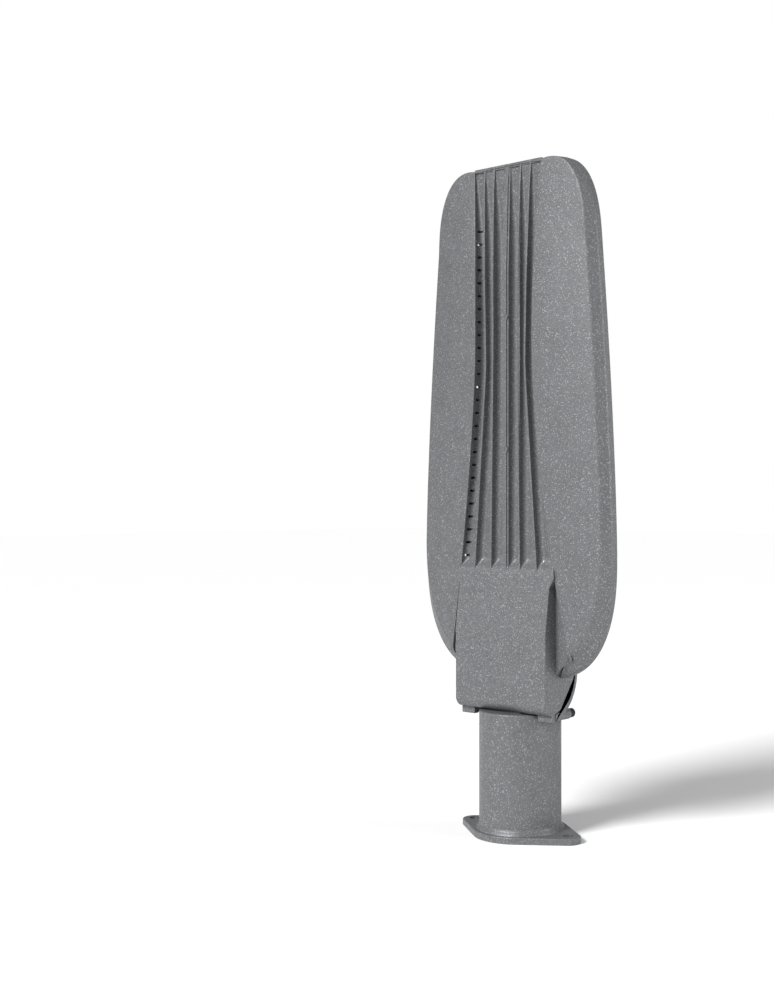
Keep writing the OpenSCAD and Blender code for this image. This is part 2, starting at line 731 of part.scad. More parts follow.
connector_z = [lower_z - board_len / 2 + 4, lower_z + board_len / 2 - 4,
    upper_z - board_len / 2 + 4];
module board_connectors() {
    color(white) for (z = connector_z)
        block([-4, 4], [board_face + 0.02, lens_y - 0.1], [z - 2.5, z + 2.5]);
}

module board_jumper_leads() {
    y = board_face + 0.55;
    color(red) for (x = [-2, 2])
        wire([[x, y, connector_z[1] + 2.6], [x, y, (lower_z + upper_z) / 2],
            [x, y, connector_z[2] - 2.6]], 0.9);
}

module supply_lead(x) {
    y = board_face + 0.55;
    wire([[x, -3, driver_z[1] + 0.2], [x, -3, driver_z[1] + 2], [x, y, bay_top_z],
        [x, y, box_top_z + 3], [x, y, connector_z[0] - 2.6]], 0.9);
}

module lead_positive() { color(red) supply_lead(-2); }

module lead_negative() { color(black) supply_lead(2); }

module gear_tray() {
    color(steel) difference() {
        block([-tray_half, tray_half], [tray_y, tray_face], [tray_low, tray_top]);
        for (p = concat(tray_spots, [earth_spot])) rod_y(1.9, tray_y - 1, tray_face + 1, p[0], p[1], 24);
    }
}

module tray_screws() {
    color(steel) for (p = tray_spots) screw_y(p[0], p[1], tray_face + seat, 1.5, 4.5, 2.8, 1.8, 1);
}

driver_spots = [[driver_x[0] + 4, driver_z[0] - 2.6], [driver_x[1] - 4, driver_z[0] - 2.6]];
module driver() {
    y0 = tray_face + seat;
    color([0.82, 0.83, 0.84]) difference() {
        union() {
            block(driver_x, [y0, y0 + driver_deep], driver_z);
            block(driver_x, [y0, y0 + 2], [driver_z[0] - 4.6, driver_z[0] + 0.1]);
        }
        for (p = driver_spots) rod_y(1.7, y0 - 1, y0 + 3, p[0], p[1], 24);
    }
}

module driver_screws() {
    color(steel) for (p = driver_spots)
        screw_y(p[0], p[1], tray_face + 2 + 2 * seat, 1.4, 1.9, 1.9, 1.5, 0.9);
}

block_z = [tray_low + 7, tray_low + 33];
module terminal_block() {
    y0 = tray_face + seat;
    color(white) difference() {
        union() {
            block([side_x0 + 1, side_x1 - 1], [y0, y0 + 11], block_z);
            block([side_x0 + 3, side_x1 - 3], [y0 + 10.9, y0 + 14], [block_z[0] + 5, block_z[1] - 5]);
        }
        for (i = [0:2]) let(x = side_x0 + 4.6 + i * 5.6) {
            rod_y(1.6, y0 + 8, y0 + 15, x, block_z[0] + 9, 24);
            rod_y(1.6, y0 + 8, y0 + 15, x, block_z[1] - 9, 24);
        }
    }
}

module terminal_screws() {
    y0 = tray_face + seat;
    color(steel) for (i = [0:2], z = [block_z[0] + 9, block_z[1] - 9])
        let(x = side_x0 + 4.6 + i * 5.6) rod_y(1.5, y0 + 8.05, y0 + 12, x, z, 24);
}

surge_z = [block_z[1] + 6, tray_top - 3];
module surge_protector() {
    y0 = tray_face + seat;
    color([0.2, 0.35, 0.6]) block([side_x0 + 1, side_x1 - 1], [y0, y0 + 15], surge_z);
}

module driver_input_leads() {
    y0 = tray_face + seat;
    color([0.45, 0.25, 0.1]) for (i = [0, 1]) wire([[driver_x[1] + 0.1, y0 + 6, 162 + i * 5],
        [driver_x[1] + 1.4, y0 + 6, 162 + i * 5], [side_x0 + 0.9, y0 + 6, 162 + i * 5]], 1.4);
}

module cable_gland() {
    z0 = partition_z + partition_t + seat;
    color(black) difference() {
        union() {
            rod_z(10.5, z0, z0 + 0.9, 0, -4, 6);
            rod_z(7.9, partition_z - 7, z0 + 0.4, 0, -4);
        }
        rod_z(4.5, partition_z - 8, z0 + 2, 0, -4);
    }
}

module gland_nut() {
    color(black) difference() {
        rod_z(10.4, partition_z - 5, partition_z - seat, 0, -4, 6);
        rod_z(7.9 + 0.02, partition_z - 6, partition_z + 1, 0, -4);
    }
}

clamp_z = tray_low + 2.6;
module cable_clamp() {
    y0 = tray_face + seat;
    color(black) difference() {
        block([side_x0 + 1, side_x1 - 1], [y0, y0 + 8], [clamp_z - 2.4, clamp_z + 2.6]);
        rod_z(2.5, clamp_z - 5, clamp_z + 5, (side_x0 + side_x1) / 2, y0 + 2.6, 24);
        for (s = [-1, 1]) rod_y(1.3, y0 - 1, y0 + 9, (side_x0 + side_x1) / 2 + s * 6.6, clamp_z, 24);
    }
}

module clamp_screws() {
    y0 = tray_face + seat;
    color(steel) for (s = [-1, 1])
        screw_y((side_x0 + side_x1) / 2 + s * 6.6, clamp_z, y0 + 8 + seat, 1.2, 8, 2.1, 1.5, 0.8);
}

module earth_screw() {
    color(brass)
        screw_y(earth_spot[0], earth_spot[1], tray_face + seat, 1.8, 1.1, 3.2, 2, 1.2);
}

module breather_vent() {
    color(black) difference() {
        union() {
            rod_z(vent_r, partition_z - 2, partition_z + partition_t + 0.2, -breather_x, -4, 32);
            rod_z(vent_r + 1.3, partition_z - 3.6, partition_z - seat, -breather_x, -4, 32);
        }
        rod_z(1, partition_z - 5, partition_z + 5, -breather_x, -4, 24);
    }
}

washer_r = 8;
module pivot_bolt() {
    x_head = cheek_out + 1.5 + 2 * seat;
    color(steel) {
        rod_x(pivot_r, -cheek_out - 8.5, x_head + 0.1, pivot_y, pivot_z);
        rod_x(7.2, x_head, x_head + 4.2, pivot_y, pivot_z, 6);
    }
}

module pivot_nut() {
    color(steel) difference() {
        rod_x(7.2, -cheek_out - 7.8, -cheek_out - 1.5 - 2 * seat, pivot_y, pivot_z, 6);
        rod_x(pivot_r + 0.02, -cheek_out - 9, -cheek_out, pivot_y, pivot_z);
    }
}

module pivot_washers() {
    color(steel) for (s = [0, 1]) mirror([s, 0, 0]) difference() {
        rod_x(washer_r, cheek_out + seat, cheek_out + 1.5 + seat, pivot_y, pivot_z);
        rod_x(pivot_r + 0.1, cheek_out - 1, cheek_out + 3, pivot_y, pivot_z);
    }
}

module toothed_plates() {
    teeth = 24;
    r = ear_eye_r - 1;
    color(steel) for (s = [0, 1]) mirror([s, 0, 0]) translate([tooth_in, pivot_y, pivot_z])
        rotate([90, 0, 90]) difference() {
            union() {
                cylinder(r = r, h = tooth_plate_t, $fn = 64);
                linear_extrude(tooth_plate_t) for (i = [0:teeth - 1]) rotate(i * 360 / teeth)
                    polygon([[r - 0.4, -0.9], [r + 1, 0], [r - 0.4, 0.9]]);
            }
            translate([0, 0, -1]) cylinder(r = pivot_r + 0.1, h = tooth_plate_t + 2, $fn = 48);
        }
}

module hinge_pins() {
    color(steel) for (s = [0, 1]) mirror([s, 0, 0])
        rod_x(hinge_pin_d / 2, cover_knuckle[0] + 0.5, ear_knuckle[1] - 0.2, hinge_y, hinge_z, 24);
}

module screw_inserts() {
    color(brass) for (s = [0, 1]) mirror([s, 0, 0]) difference() {
        rod_y(3.38, lip_front + 1.05, lip_back - 0.1, cover_screw_x, cover_screw_z);
        rod_y(cover_screw_r + 0.7, lip_front, lip_back + 1, cover_screw_x, cover_screw_z);
    }
}

module cover_profile(inner) {
    t = cover_t + 1.3;
    skin_gap = inner ? cover_t - cover_skin : 0;
    in_ry = sweep_ry + gap + skin_gap;
    in_rz = sweep_rz + gap + skin_gap;
    out_ry = sweep_ry + gap + cover_t;
    out_rz = sweep_rz + gap + t;
    start_y = lip_back + gap;
    outer = sweep(out_ry, out_rz, start_y);
    inner_arc = sweep(in_ry, in_rz, start_y);
    polygon(concat(outer, [[cover_out_y, cover_top_z], [sweep_y + in_ry, cover_top_z]],
        [for (i = [10:-1:0]) inner_arc[i]]));
}

module cover() {
    rim_in = bay_half + 0.2;
    color(coat) difference() {
        union() {
            along_x(-box_half, box_half) cover_profile(true);
            for (s = [0, 1]) mirror([s, 0, 0]) {
                along_x(rim_in, box_half) cover_profile(false);
                rod_y(lug_r, lug_start, lug_end, cover_screw_x, cover_screw_z);
                rod_x(knuckle_r, cover_knuckle[0], cover_knuckle[1], hinge_y, hinge_z);
                block(cover_knuckle, [cover_in_y + 0.1, cover_out_y - 1], [cover_top_z - 3, hinge_z]);
            }
            block([-box_half + 1, box_half - 1], [cover_in_y, cover_out_y - 1],
                [cover_top_z - 3.2, cover_top_z]);
            block([-box_half + 1, box_half - 1], [cover_in_y, cover_out_y - 1],
                [partition_z, partition_z + partition_t]);
        }
        block([-neck_cut_half, neck_cut_half], [-60, 60], [80, neck_cut_z]);
        along_y(cover_in_y - 1, cover_in_y + 1.2) gasket_ring(gasket_w / 2 + 0.1);
        for (s = [0, 1]) mirror([s, 0, 0]) {
            rod_y(cover_screw_r + running, -20, 30, cover_screw_x, cover_screw_z);
            rod_x(hinge_pin_d / 2 + running, cover_knuckle[0] - 1, cover_knuckle[1] + 1,
                hinge_y, hinge_z, 24);
        }
    }
}

module gasket_ring(half) {
    low = partition_z + partition_t / 2;
    high = cover_top_z - 1.6;
    difference() {
        translate([-gasket_mid_x - half, low - half])
            square([2 * (gasket_mid_x + half), high - low + 2 * half]);
        translate([-gasket_mid_x + half, low + half])
            square([2 * (gasket_mid_x - half), high - low - 2 * half]);
    }
}

module cover_gasket() {
    color(silicone) along_y(box_back + 0.05, cover_in_y + 1.15) gasket_ring(gasket_w / 2);
}

module cover_screw(x) {
    tip = lip_back - 3;
    color(black) screw_y(x, cover_screw_z, lug_end + washer_t + 2 * seat, cover_screw_r,
        lug_end + washer_t - tip, 3.8, screw_head_h, 1.8);
}

module cover_screw_left() { cover_screw(-cover_screw_x); }

module cover_screw_right() { cover_screw(cover_screw_x); }

module screw_washers() {
    color(black) for (s = [-1, 1]) difference() {
        rod_y(3.6, lug_end + seat, lug_end + seat + washer_t, s * cover_screw_x, cover_screw_z);
        rod_y(cover_screw_r + 0.1, lug_end - 1, lug_end + 3, s * cover_screw_x, cover_screw_z);
    }
}

spigot();
housing();
front_frame();
frame_gasket();
frame_screws();
led_board_upper();
led_board_lower();
led_chips_upper();
led_chips_lower();
thermal_pads();
lens_upper();
lens_lower();
lens_gaskets();
board_connectors();
board_jumper_leads();
lead_positive();
lead_negative();
gear_tray();
tray_screws();
driver();
driver_screws();
driver_input_leads();
terminal_block();
terminal_screws();
surge_protector();
cable_gland();
gland_nut();
cable_clamp();
clamp_screws();
earth_screw();
breather_vent();
pivot_bolt();
pivot_nut();
pivot_washers();
toothed_plates();
hinge_pins();
screw_inserts();
cover();
cover_gasket();
cover_screw_left();
cover_screw_right();
screw_washers();
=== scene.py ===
"""Looks of a pole-top street lamp head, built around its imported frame."""

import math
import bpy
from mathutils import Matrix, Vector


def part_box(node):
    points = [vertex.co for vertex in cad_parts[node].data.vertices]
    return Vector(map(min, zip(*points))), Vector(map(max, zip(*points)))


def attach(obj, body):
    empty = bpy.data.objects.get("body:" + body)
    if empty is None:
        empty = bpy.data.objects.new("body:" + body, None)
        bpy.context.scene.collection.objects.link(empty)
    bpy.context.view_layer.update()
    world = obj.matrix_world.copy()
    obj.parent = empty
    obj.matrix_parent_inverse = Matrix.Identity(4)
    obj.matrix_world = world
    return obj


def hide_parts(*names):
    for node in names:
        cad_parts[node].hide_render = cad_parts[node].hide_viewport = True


bl_info = {
    "name": "Street Lamp Head",
    "version": (1, 0, 0),
    "blender": (4, 5, 0),
    "location": "View3D > Sidebar > Lamp Head",
    "description": "Builds the castings, screws, finishes and studio of a pole-top street lamp head",
    "category": "Object",
}

import bmesh
import bpy
from bpy.props import FloatProperty, FloatVectorProperty, PointerProperty
from mathutils import Vector

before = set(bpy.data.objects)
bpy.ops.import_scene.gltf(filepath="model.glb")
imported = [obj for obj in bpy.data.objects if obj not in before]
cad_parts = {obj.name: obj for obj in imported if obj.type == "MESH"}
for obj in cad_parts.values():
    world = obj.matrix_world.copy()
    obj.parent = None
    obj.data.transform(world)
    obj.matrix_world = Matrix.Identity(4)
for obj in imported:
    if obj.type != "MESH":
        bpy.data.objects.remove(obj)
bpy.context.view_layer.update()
housing_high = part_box("housing")[1]
cover_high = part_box("cover")[1]

# Lengths in the geometry below are in millimetres; meshes are made in metres.
MM = 0.001

# Head outline
HALF_W = round(housing_high.x / MM, 1)
TOP_Z = round(housing_high.z / MM, 1)
TIP_LAW_Z = TOP_Z + 0.3
WIDEST_Z = 229
LOW_Z = 131
SIDE_TAPER = 20.7
TOP_FLAT = 40
CORNER_H = 66
TOP_CROWN = 1.2
RIM_H = 7
SKIN = 2.5
SIDE_POWER = 1.47
FOOT_X = 31
FOOT_POWER = 2.45
CORNER_POWER = 2.65
DECK_POWER = 1.8
CORNER_Z = TIP_LAW_Z - CORNER_H
CORNER_TOP = TIP_LAW_Z - TOP_CROWN

# Channel, louvres and fins
WAIST_HALF = 30
WAIST_Z = 400
FLARE_TOP, FLARE_TOP_POWER = 5.2, 2.2
FLARE_LOW, FLARE_LOW_POWER = 32.1, 1.56
WALL_SET = 0.5
WALL_LEAN = 1.7
EDGE_LOW_Z = LOW_Z + 17
EDGE_TOP_Z = TIP_LAW_Z - 3.3
EDGE_DEPTHS = {"waist": 22.5, "top": 17.0, "low": 15.3}
CREASE_DEPTH = 14.5
BEVEL_W = 5.5
BEVEL_FOOT = 9
FIN_DEPTH = 20
FLOOR_DEPTH = 12
FLOOR_RISE_Z = 480
CREST_BEND_Z = (460, 530.3)
INNER_FIN_X = 12.9
OUTER_FIN_X = 20.6
SHOULDER_X = 15.25
RIB_HALF = 3.25
RIB_CREST_HALF = 1.7
FIN_STEP = 0.8
VALLEY_ROUND = 4.5
FIN_END_Z = 218
RIB_MARKS = [(1.05, z) for z in (424.5, 316.5)]
LOUVRE_PITCH = 10.77
LOUVRE_DROP = 3.2
LOUVRE_DEEP = 4.4
LOUVRE_END = 48
SEAT_Y = -8
FRAME_Z = (244, 534.3)

# Driver box
BOX_HALF = round(cover_high.x / MM, 1)
BOX_FRONT = -27
BOX_BACK = 11
BOX_LOW_Z = 103.5
BOX_TOP_Z = 226
BAY_HALF = BOX_HALF - 4
BAY_TOP_Z = 222
RAMP_Z = 165
PARTITION = (143, 146)
SWEEP = (-20, 137, 31, 33.5)
LIP = (-19, -13.5, 97.7)
POSTS = [(side * 40.4, z) for side in (-1, 1) for z in (152, 213)]

# Tilt pivot, hinge and cover screws
PIVOT = (-6, 128)
HINGE = (12.2, 229.3)
EAR_KNUCKLE = (37, 43)
COVER_KNUCKLE = (29, 36.7)
COVER_SCREW = (40, 101.5)
COVER_RIM = (11.3, 15.5)
NECK_HALF = 33

# Spigot
TUBE_R = 34
FLAT_X = 31
BORE_R = 30.7
BORE_END_Z = 76
TUBE_END_Z = 102.4
FLANGE_T = 5.5
FLANGE_R = 39.5
FLANGE_EAR_R = 10.5
BOLT_X = 50
PIVOT_EAR = (14, 26.3)
PIVOT_EAR_R = 11


def lerp(a, b, t):
    """The value a share t of the way from a to b."""
    return a + (b - a) * t


def smooth(t):
    """An S-curve from 0 to 1."""
    t = min(1.0, max(0.0, t))
    return t * t * (3 - 2 * t)


# ---------------------------------------------------------------- outlines


def arc(centre, radius, start, end, steps):
    """Points on a circle, from one angle to another in degrees."""
    turns = [math.radians(lerp(start, end, i / steps)) for i in range(steps + 1)]
    return [(centre[0] + radius * math.cos(a), centre[1] + radius * math.sin(a)) for a in turns]


def circle(centre, radius, sides=48, turn=0.0):
    """A closed outline of a circle or regular polygon."""
    return arc(centre, radius, turn, turn + 360 * (sides - 1) / sides, sides - 1)


def rounded_rect(a, b, radius, steps=4):
    """A rectangle from corner a to corner b with its corners rounded."""
    x0, x1, y0, y1 = a[0] + radius, b[0] - radius, a[1] + radius, b[1] - radius
    out = []
    for cx, cy, start in ((x1, y0, -90), (x1, y1, 0), (x0, y1, 90), (x0, y0, 180)):
        out += arc((cx, cy), radius, start, start + 90, steps)
    return out


def soften(points, cuts, steps=4):
    """Rounds each corner of a closed outline, cut back by its own length along both sides."""
    out = []
    for i, (p, cut) in enumerate(zip(points, cuts)):
        if cut <= 0:
            out.append(p)
            continue
        before, after = points[i - 1], points[(i + 1) % len(points)]
        ends = []
        for q in (before, after):
            span = max(1e-6, math.dist(p, q))
            share = min(cut, 0.49 * span) / span
            ends.append((lerp(p[0], q[0], share), lerp(p[1], q[1], share)))
        for k in range(steps + 1):
            t = k / steps
            out.append(tuple(
                (1 - t) ** 2 * ends[0][j] + 2 * t * (1 - t) * p[j] + t * t * ends[1][j]
                for j in (0, 1)))
    return out


def inset(points, depth):
    """A closed outline moved inwards by a depth."""
    area = sum(a[0] * b[1] - b[0] * a[1] for a, b in zip(points, points[1:] + points[:1]))
    side = 1 if area > 0 else -1
    out = []
    for i, p in enumerate(points):
        a, b = points[i - 1], points[(i + 1) % len(points)]
        normals = []
        for u, v in ((a, p), (p, b)):
            length = max(1e-9, math.dist(u, v))
            normals.append((-(v[1] - u[1]) / length * side, (v[0] - u[0]) / length * side))
        (ax, ay), (bx, by) = normals
        reach = depth / max(0.35, 1 + ax * bx + ay * by)
        out.append((p[0] + (ax + bx) * reach, p[1] + (ay + by) * reach))
    return out


def resample(points, count):
    """The same line in count points, spaced evenly along its length."""
    lengths = [0.0]
    for a, b in zip(points, points[1:]):
        lengths.append(lengths[-1] + math.dist(a, b))
    out, k = [], 0
    for i in range(count):
        target = lengths[-1] * i / (count - 1)
        while k < len(lengths) - 2 and lengths[k + 1] < target:
            k += 1
        share = (target - lengths[k]) / max(1e-9, lengths[k + 1] - lengths[k])
        out.append(tuple(lerp(a, b, share) for a, b in zip(points[k], points[k + 1])))
    return out


# ---------------------------------------------------------------- solids


def link_mesh(name, verts, faces):
    """A new object in the scene from points in millimetres, with its faces turned outwards."""
    mesh = bpy.data.meshes.new(name)
    mesh.from_pydata([tuple(c * MM for c in v) for v in verts], [], faces)
    work = bmesh.new()
    work.from_mesh(mesh)
    bmesh.ops.remove_doubles(work, verts=work.verts, dist=2e-7)
    bmesh.ops.recalc_face_normals(work, faces=work.faces)
    work.to_mesh(mesh)
    work.free()
    ob = bpy.data.objects.new(name, mesh)
    bpy.context.scene.collection.objects.link(ob)
    return ob


def skin_over(name, rows, ring=False):
    """A closed solid through rows of equal loops; a ring joins its last row to its first."""
    count = len(rows[0])
    faces = []
    for i in range(len(rows) if ring else len(rows) - 1):
        a, b = i * count, (i + 1) % len(rows) * count
        faces += [(a + k, a + (k + 1) % count, b + (k + 1) % count, b + k) for k in range(count)]
    if not ring:
        last = (len(rows) - 1) * count
        faces += [tuple(range(count))[::-1], tuple(range(last, last + count))]
    return link_mesh(name, [p for row in rows for p in row], faces)


PLACE = {
    "x": lambda p, h: (h, p[0], p[1]),
    "y": lambda p, h: (p[0], h, p[1]),
    "z": lambda p, h: (p[0], p[1], h),
}


def prism(name, outline, axis, low, high, rounds=(0, 0), steps=3):
    """An outline drawn out along an axis, with the edges of its two ends rounded."""
    levels = []
    for k in range(steps + 1 if rounds[0] else 1):
        a = math.radians(90 * k / steps)
        levels.append((rounds[0] * (1 - math.sin(a)), low + rounds[0] * (1 - math.cos(a))))
    for k in range(steps + 1 if rounds[1] else 1):
        a = math.radians(90 * (1 - k / steps) if rounds[1] else 0)
        levels.append((rounds[1] * (1 - math.sin(a)) if rounds[1] else 0,
                       high - rounds[1] * (1 - math.cos(a))))
    rows = [[PLACE[axis](p, h) for p in (inset(outline, d) if d > 1e-9 else outline)]
            for d, h in levels]
    return skin_over(name, rows)


def block(name, x, y, z, radius=0.0):
    """A box from its three spans, with all its edges rounded if a radius is given."""
    if not radius:
        return prism(name, [(x[0], y[0]), (x[1], y[0]), (x[1], y[1]), (x[0], y[1])], "z", *z)
    outline = rounded_rect((x[0], y[0]), (x[1], y[1]), radius)
    return prism(name, outline, "z", *z, rounds=(radius, radius))


def rod(name, axis, radius, low, high, centre, sides=40, rounds=(0, 0), turn=0.0):
    """A round bar, or a regular prism, along an axis."""
    return prism(name, circle(centre, radius, sides, turn), axis, low, high, rounds)


def lathe(name, profile, sides=128, half_width=None):
    """A closed profile of radius and height turned round the Z axis; half_width cuts two flats."""
    rows = []
    for i in range(sides):
        a = 2 * math.pi * i / sides
        row = []
        for r, z in profile:
            x, y = r * math.cos(a), r * math.sin(a)
            if half_width:
                x = max(-half_width(r, z), min(half_width(r, z), x))
            row.append((x, y, z))
        rows.append(row)
    return skin_over(name, rows, ring=True)


def remove(ob):
    """Deletes a helper object and its mesh."""
    mesh = ob.data
    bpy.data.objects.remove(ob)
    bpy.data.meshes.remove(mesh)


def together(name, obs):
    """Several separate solids as one object."""
    mesh = bpy.data.meshes.new(name)
    work = bmesh.new()
    for ob in obs:
        work.from_mesh(ob.data)
    work.to_mesh(mesh)
    work.free()
    for ob in obs:
        remove(ob)
    ob = bpy.data.objects.new(name, mesh)
    bpy.context.scene.collection.objects.link(ob)
    return ob


def combine(base, tools, operation="UNION"):
    """Adds solids to a base, or cuts them out of it, one after the other."""
    for tool in tools:
        step = base.modifiers.new(tool.name, "BOOLEAN")
        step.solver, step.operation, step.object = "MANIFOLD", operation, tool
        graph = bpy.context.evaluated_depsgraph_get()
        made = bpy.data.meshes.new_from_object(base.evaluated_get(graph))
        if len(made.vertices) == len(base.data.vertices):
            raise RuntimeError(f"{operation.lower()} with {tool.name} changed nothing")
        base.modifiers.clear()
        old, base.data = base.data, made
        bpy.data.meshes.remove(old)
        remove(tool)
    return base


def shade(ob, angle=32.0):
    """Smooth shading with edges sharper than an angle kept crisp."""
    ob.data.shade_smooth()
    ob.data.set_sharp_from_angle(angle=math.radians(angle))
    weighted = ob.modifiers.new("even_normals", "WEIGHTED_NORMAL")
    weighted.keep_sharp = True
    weighted.weight = 80


def settle(ob, name, body, slot, material, *nodes):
    """Names a finished piece, gives it its finish and puts it on its body in place of CAD nodes."""
    ob.name = ob.data.name = name
    ob.data.materials.clear()
    ob.data.materials.append(material)
    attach(ob, body)
    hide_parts(*nodes)
    return ob


# ---------------------------------------------------------------- head laws


def side_x(z):
    """Half width of the head at a height, above its widest place."""
    share = max(0, z - WIDEST_Z) / (TIP_LAW_Z - WIDEST_Z)
    return HALF_W - SIDE_TAPER * share ** SIDE_POWER


def edge_x(z):
    """Distance of a channel edge from the middle."""
    if z >= WAIST_Z:
        share = (z - WAIST_Z) / (EDGE_TOP_Z - WAIST_Z)
        return WAIST_HALF + FLARE_TOP * share ** FLARE_TOP_POWER
    share = (WAIST_Z - z) / (WAIST_Z - EDGE_LOW_Z)
    return WAIST_HALF + FLARE_LOW * share ** FLARE_LOW_POWER


def edge_y(z):
    """Depth of a channel edge, negative towards the finned back."""
    if z >= WAIST_Z:
        share, end = (z - WAIST_Z) / (EDGE_TOP_Z - WAIST_Z), EDGE_DEPTHS["top"]
    else:
        share, end = (WAIST_Z - z) / (WAIST_Z - EDGE_LOW_Z), EDGE_DEPTHS["low"]
    return -EDGE_DEPTHS["waist"] + (EDGE_DEPTHS["waist"] - end) * share ** 2


def wall_x(z, y):
    """Inner face of a channel wall at a height and depth."""
    top = edge_y(z) + 1.2
    share = (y - top) / (SEAT_Y - 0.2 - top)
    return edge_x(z) + WALL_SET - WALL_LEAN * share


def floor_y(z):
    """Depth of the channel floor in its middle, and of the ramp below it."""
    deep = -FLOOR_DEPTH - 1.2 * smooth((WAIST_Z - z) / 170)
    deep -= 3.6 * (max(0, z - FLOOR_RISE_Z) / 68) ** 1.5
    if z > FIN_END_Z + 11:
        return deep
    ramp = lerp(BOX_FRONT, -FIN_DEPTH, (z - RAMP_Z) / (FIN_END_Z - RAMP_Z))
    return lerp(ramp, deep, smooth((z - FIN_END_Z + 1) / 11))


def crest_y(z):
    """Depth of a fin's crest."""
    low, high = CREST_BEND_Z
    if z < low:
        return -FIN_DEPTH
    if z < high:
        return lerp(-FIN_DEPTH, 2 - FIN_DEPTH, (z - low) / (high - low))
    return lerp(2 - FIN_DEPTH, 3.3 - FIN_DEPTH, (z - high) / 16.5)


def bend(u, soft):
    """A hyperbola that turns from 0 to u."""
    return (u + math.sqrt(u * u + soft * soft)) / 2


def fin_line(z):
    """Distances of the inner and outer fins from the middle."""
    inner = INNER_FIN_X + 0.0135 * bend(WAIST_Z - z, 20) + 0.0115 * bend(z - WAIST_Z - 30, 20)
    outer = OUTER_FIN_X + 0.0757 * bend(WAIST_Z - 16 - z, 10) + 0.0238 * bend(z - WAIST_Z + 16, 10)
    return inner, outer


# ---------------------------------------------------------------- casting of the head


def rim_right(count):
    """Rim of the head from the box's side round to the middle of the top edge."""
    start = math.acos(((BOX_HALF - FOOT_X) / (HALF_W - FOOT_X)) ** (FOOT_POWER / 2))
    line = []
    for i in range(80):
        t = start * (1 - i / 80)
        line.append((FOOT_X + (HALF_W - FOOT_X) * math.cos(t) ** (2 / FOOT_POWER),
                     WIDEST_Z - (WIDEST_Z - LOW_Z) * max(0, math.sin(t)) ** (2 / FOOT_POWER)))
    line += [(side_x(z), z) for z in (lerp(WIDEST_Z, CORNER_Z, i / 80) for i in range(80))]
    for i in range(81):
        t = math.pi / 2 * i / 80
        z = CORNER_Z + (CORNER_TOP - CORNER_Z) * math.sin(t) ** (2 / CORNER_POWER)
        line.append((TOP_FLAT + (side_x(z) - TOP_FLAT) * max(0, math.cos(t)) ** (2 / CORNER_POWER),
                     z))
    line += [(x, TOP_Z - (TOP_Z - CORNER_TOP) * (x / TOP_FLAT) ** 2)
             for x in (TOP_FLAT * (1 - i / 20) for i in range(1, 21))]
    return resample(line, count)


def deck_row(p, shape):
    """Loop of points across a wing: lip, crowned deck, crease, bevel, rim and underside."""
    x, z = p
    edge_z = EDGE_LOW_Z + (EDGE_TOP_Z - EDGE_LOW_Z) * (z - LOW_Z) / (TIP_LAW_Z - LOW_Z)
    lip_x = edge_x(edge_z)
    if x < TOP_FLAT and z > CORNER_Z:
        lip_x *= x / TOP_FLAT
    run = math.dist((lip_x, edge_z), p)
    ahead = ((x - lip_x) / run, (z - edge_z) / run)
    if z > CORNER_Z:
        rise = min(1, (z - CORNER_Z) / (CORNER_TOP - CORNER_Z))
        bevel, crease_y = BEVEL_W - 3 * rise, -CREASE_DEPTH - 1.8 * rise
    else:
        bevel = BEVEL_W + BEVEL_FOOT * (max(0, WIDEST_Z + 10 - z) / (WIDEST_Z + 10 - LOW_Z)) ** 1.3
        crease_y = -CREASE_DEPTH
    crease = run * max(0.3, 1 - bevel / run)
    lip_y = edge_y(edge_z)
    crease_y = max(lip_y, crease_y)
    shares = [i / 14 for i in range(1, 14)]
    thick = min(SKIN, 0.5 * run)
    back = min(1.5, 0.3 * crease)

    def deck(t):
        return lip_y + (crease_y - lip_y) * t ** DECK_POWER

    lip, rim = shape.lip_round / MM, shape.rim_round / MM
    corners = [(0, lip_y + SKIN, 0.3), (0, lip_y, lip)]
    corners += [(crease * t, deck(t), 0) for t in shares]
    corners += [(crease, crease_y, shape.crease_round / MM), (run, -RIM_H, rim),
                (run, 0, 0.5), (run - thick, 0, 0.4), (run - thick, -RIM_H + 1.2, 0),
                (crease - back, crease_y + SKIN, 0)]
    corners += [((crease - back) * t, deck(t) + SKIN, 0) for t in reversed(shares)]
    loop = soften([c[:2] for c in corners], [c[2] for c in corners], 5)
    return [(lip_x + ahead[0] * u, y, edge_z + ahead[1] * u) for u, y in loop]


def wings(shape):
    """Both wings and the top edge, as one band from foot to foot."""
    right = [deck_row(p, shape) for p in rim_right(150)]
    left = [[(-x, y, z) for x, y, z in row] for row in reversed(right[:-1])]
    return skin_over("wings", right + left)


def flank(crest, base, radius, shoulder, stepped=True):
    """Points down a fin's side into the valley, as distance out from its crest's edge and depth.

    A shoulder lies a step below the crest, or slopes down from it.
    """
    tall = base - crest
    tip, fall = min(0.25, 0.2 * tall), min(FIN_STEP, 0.3 * tall) * smooth(shoulder / 0.3)
    foot = shoulder + 0.02 * tall
    points = [(-tip, crest), (-0.3 * tip, crest + 0.3 * tip), (0, crest + tip),
              (0.02, crest + tip + fall * stepped), (shoulder, crest + 1.2 * tip + fall)]
    for i in range(9):
        a = math.pi / 2 * i / 8
        points.append((foot + radius * (1 - math.cos(a)), base - radius * (1 - math.sin(a))))
    return points


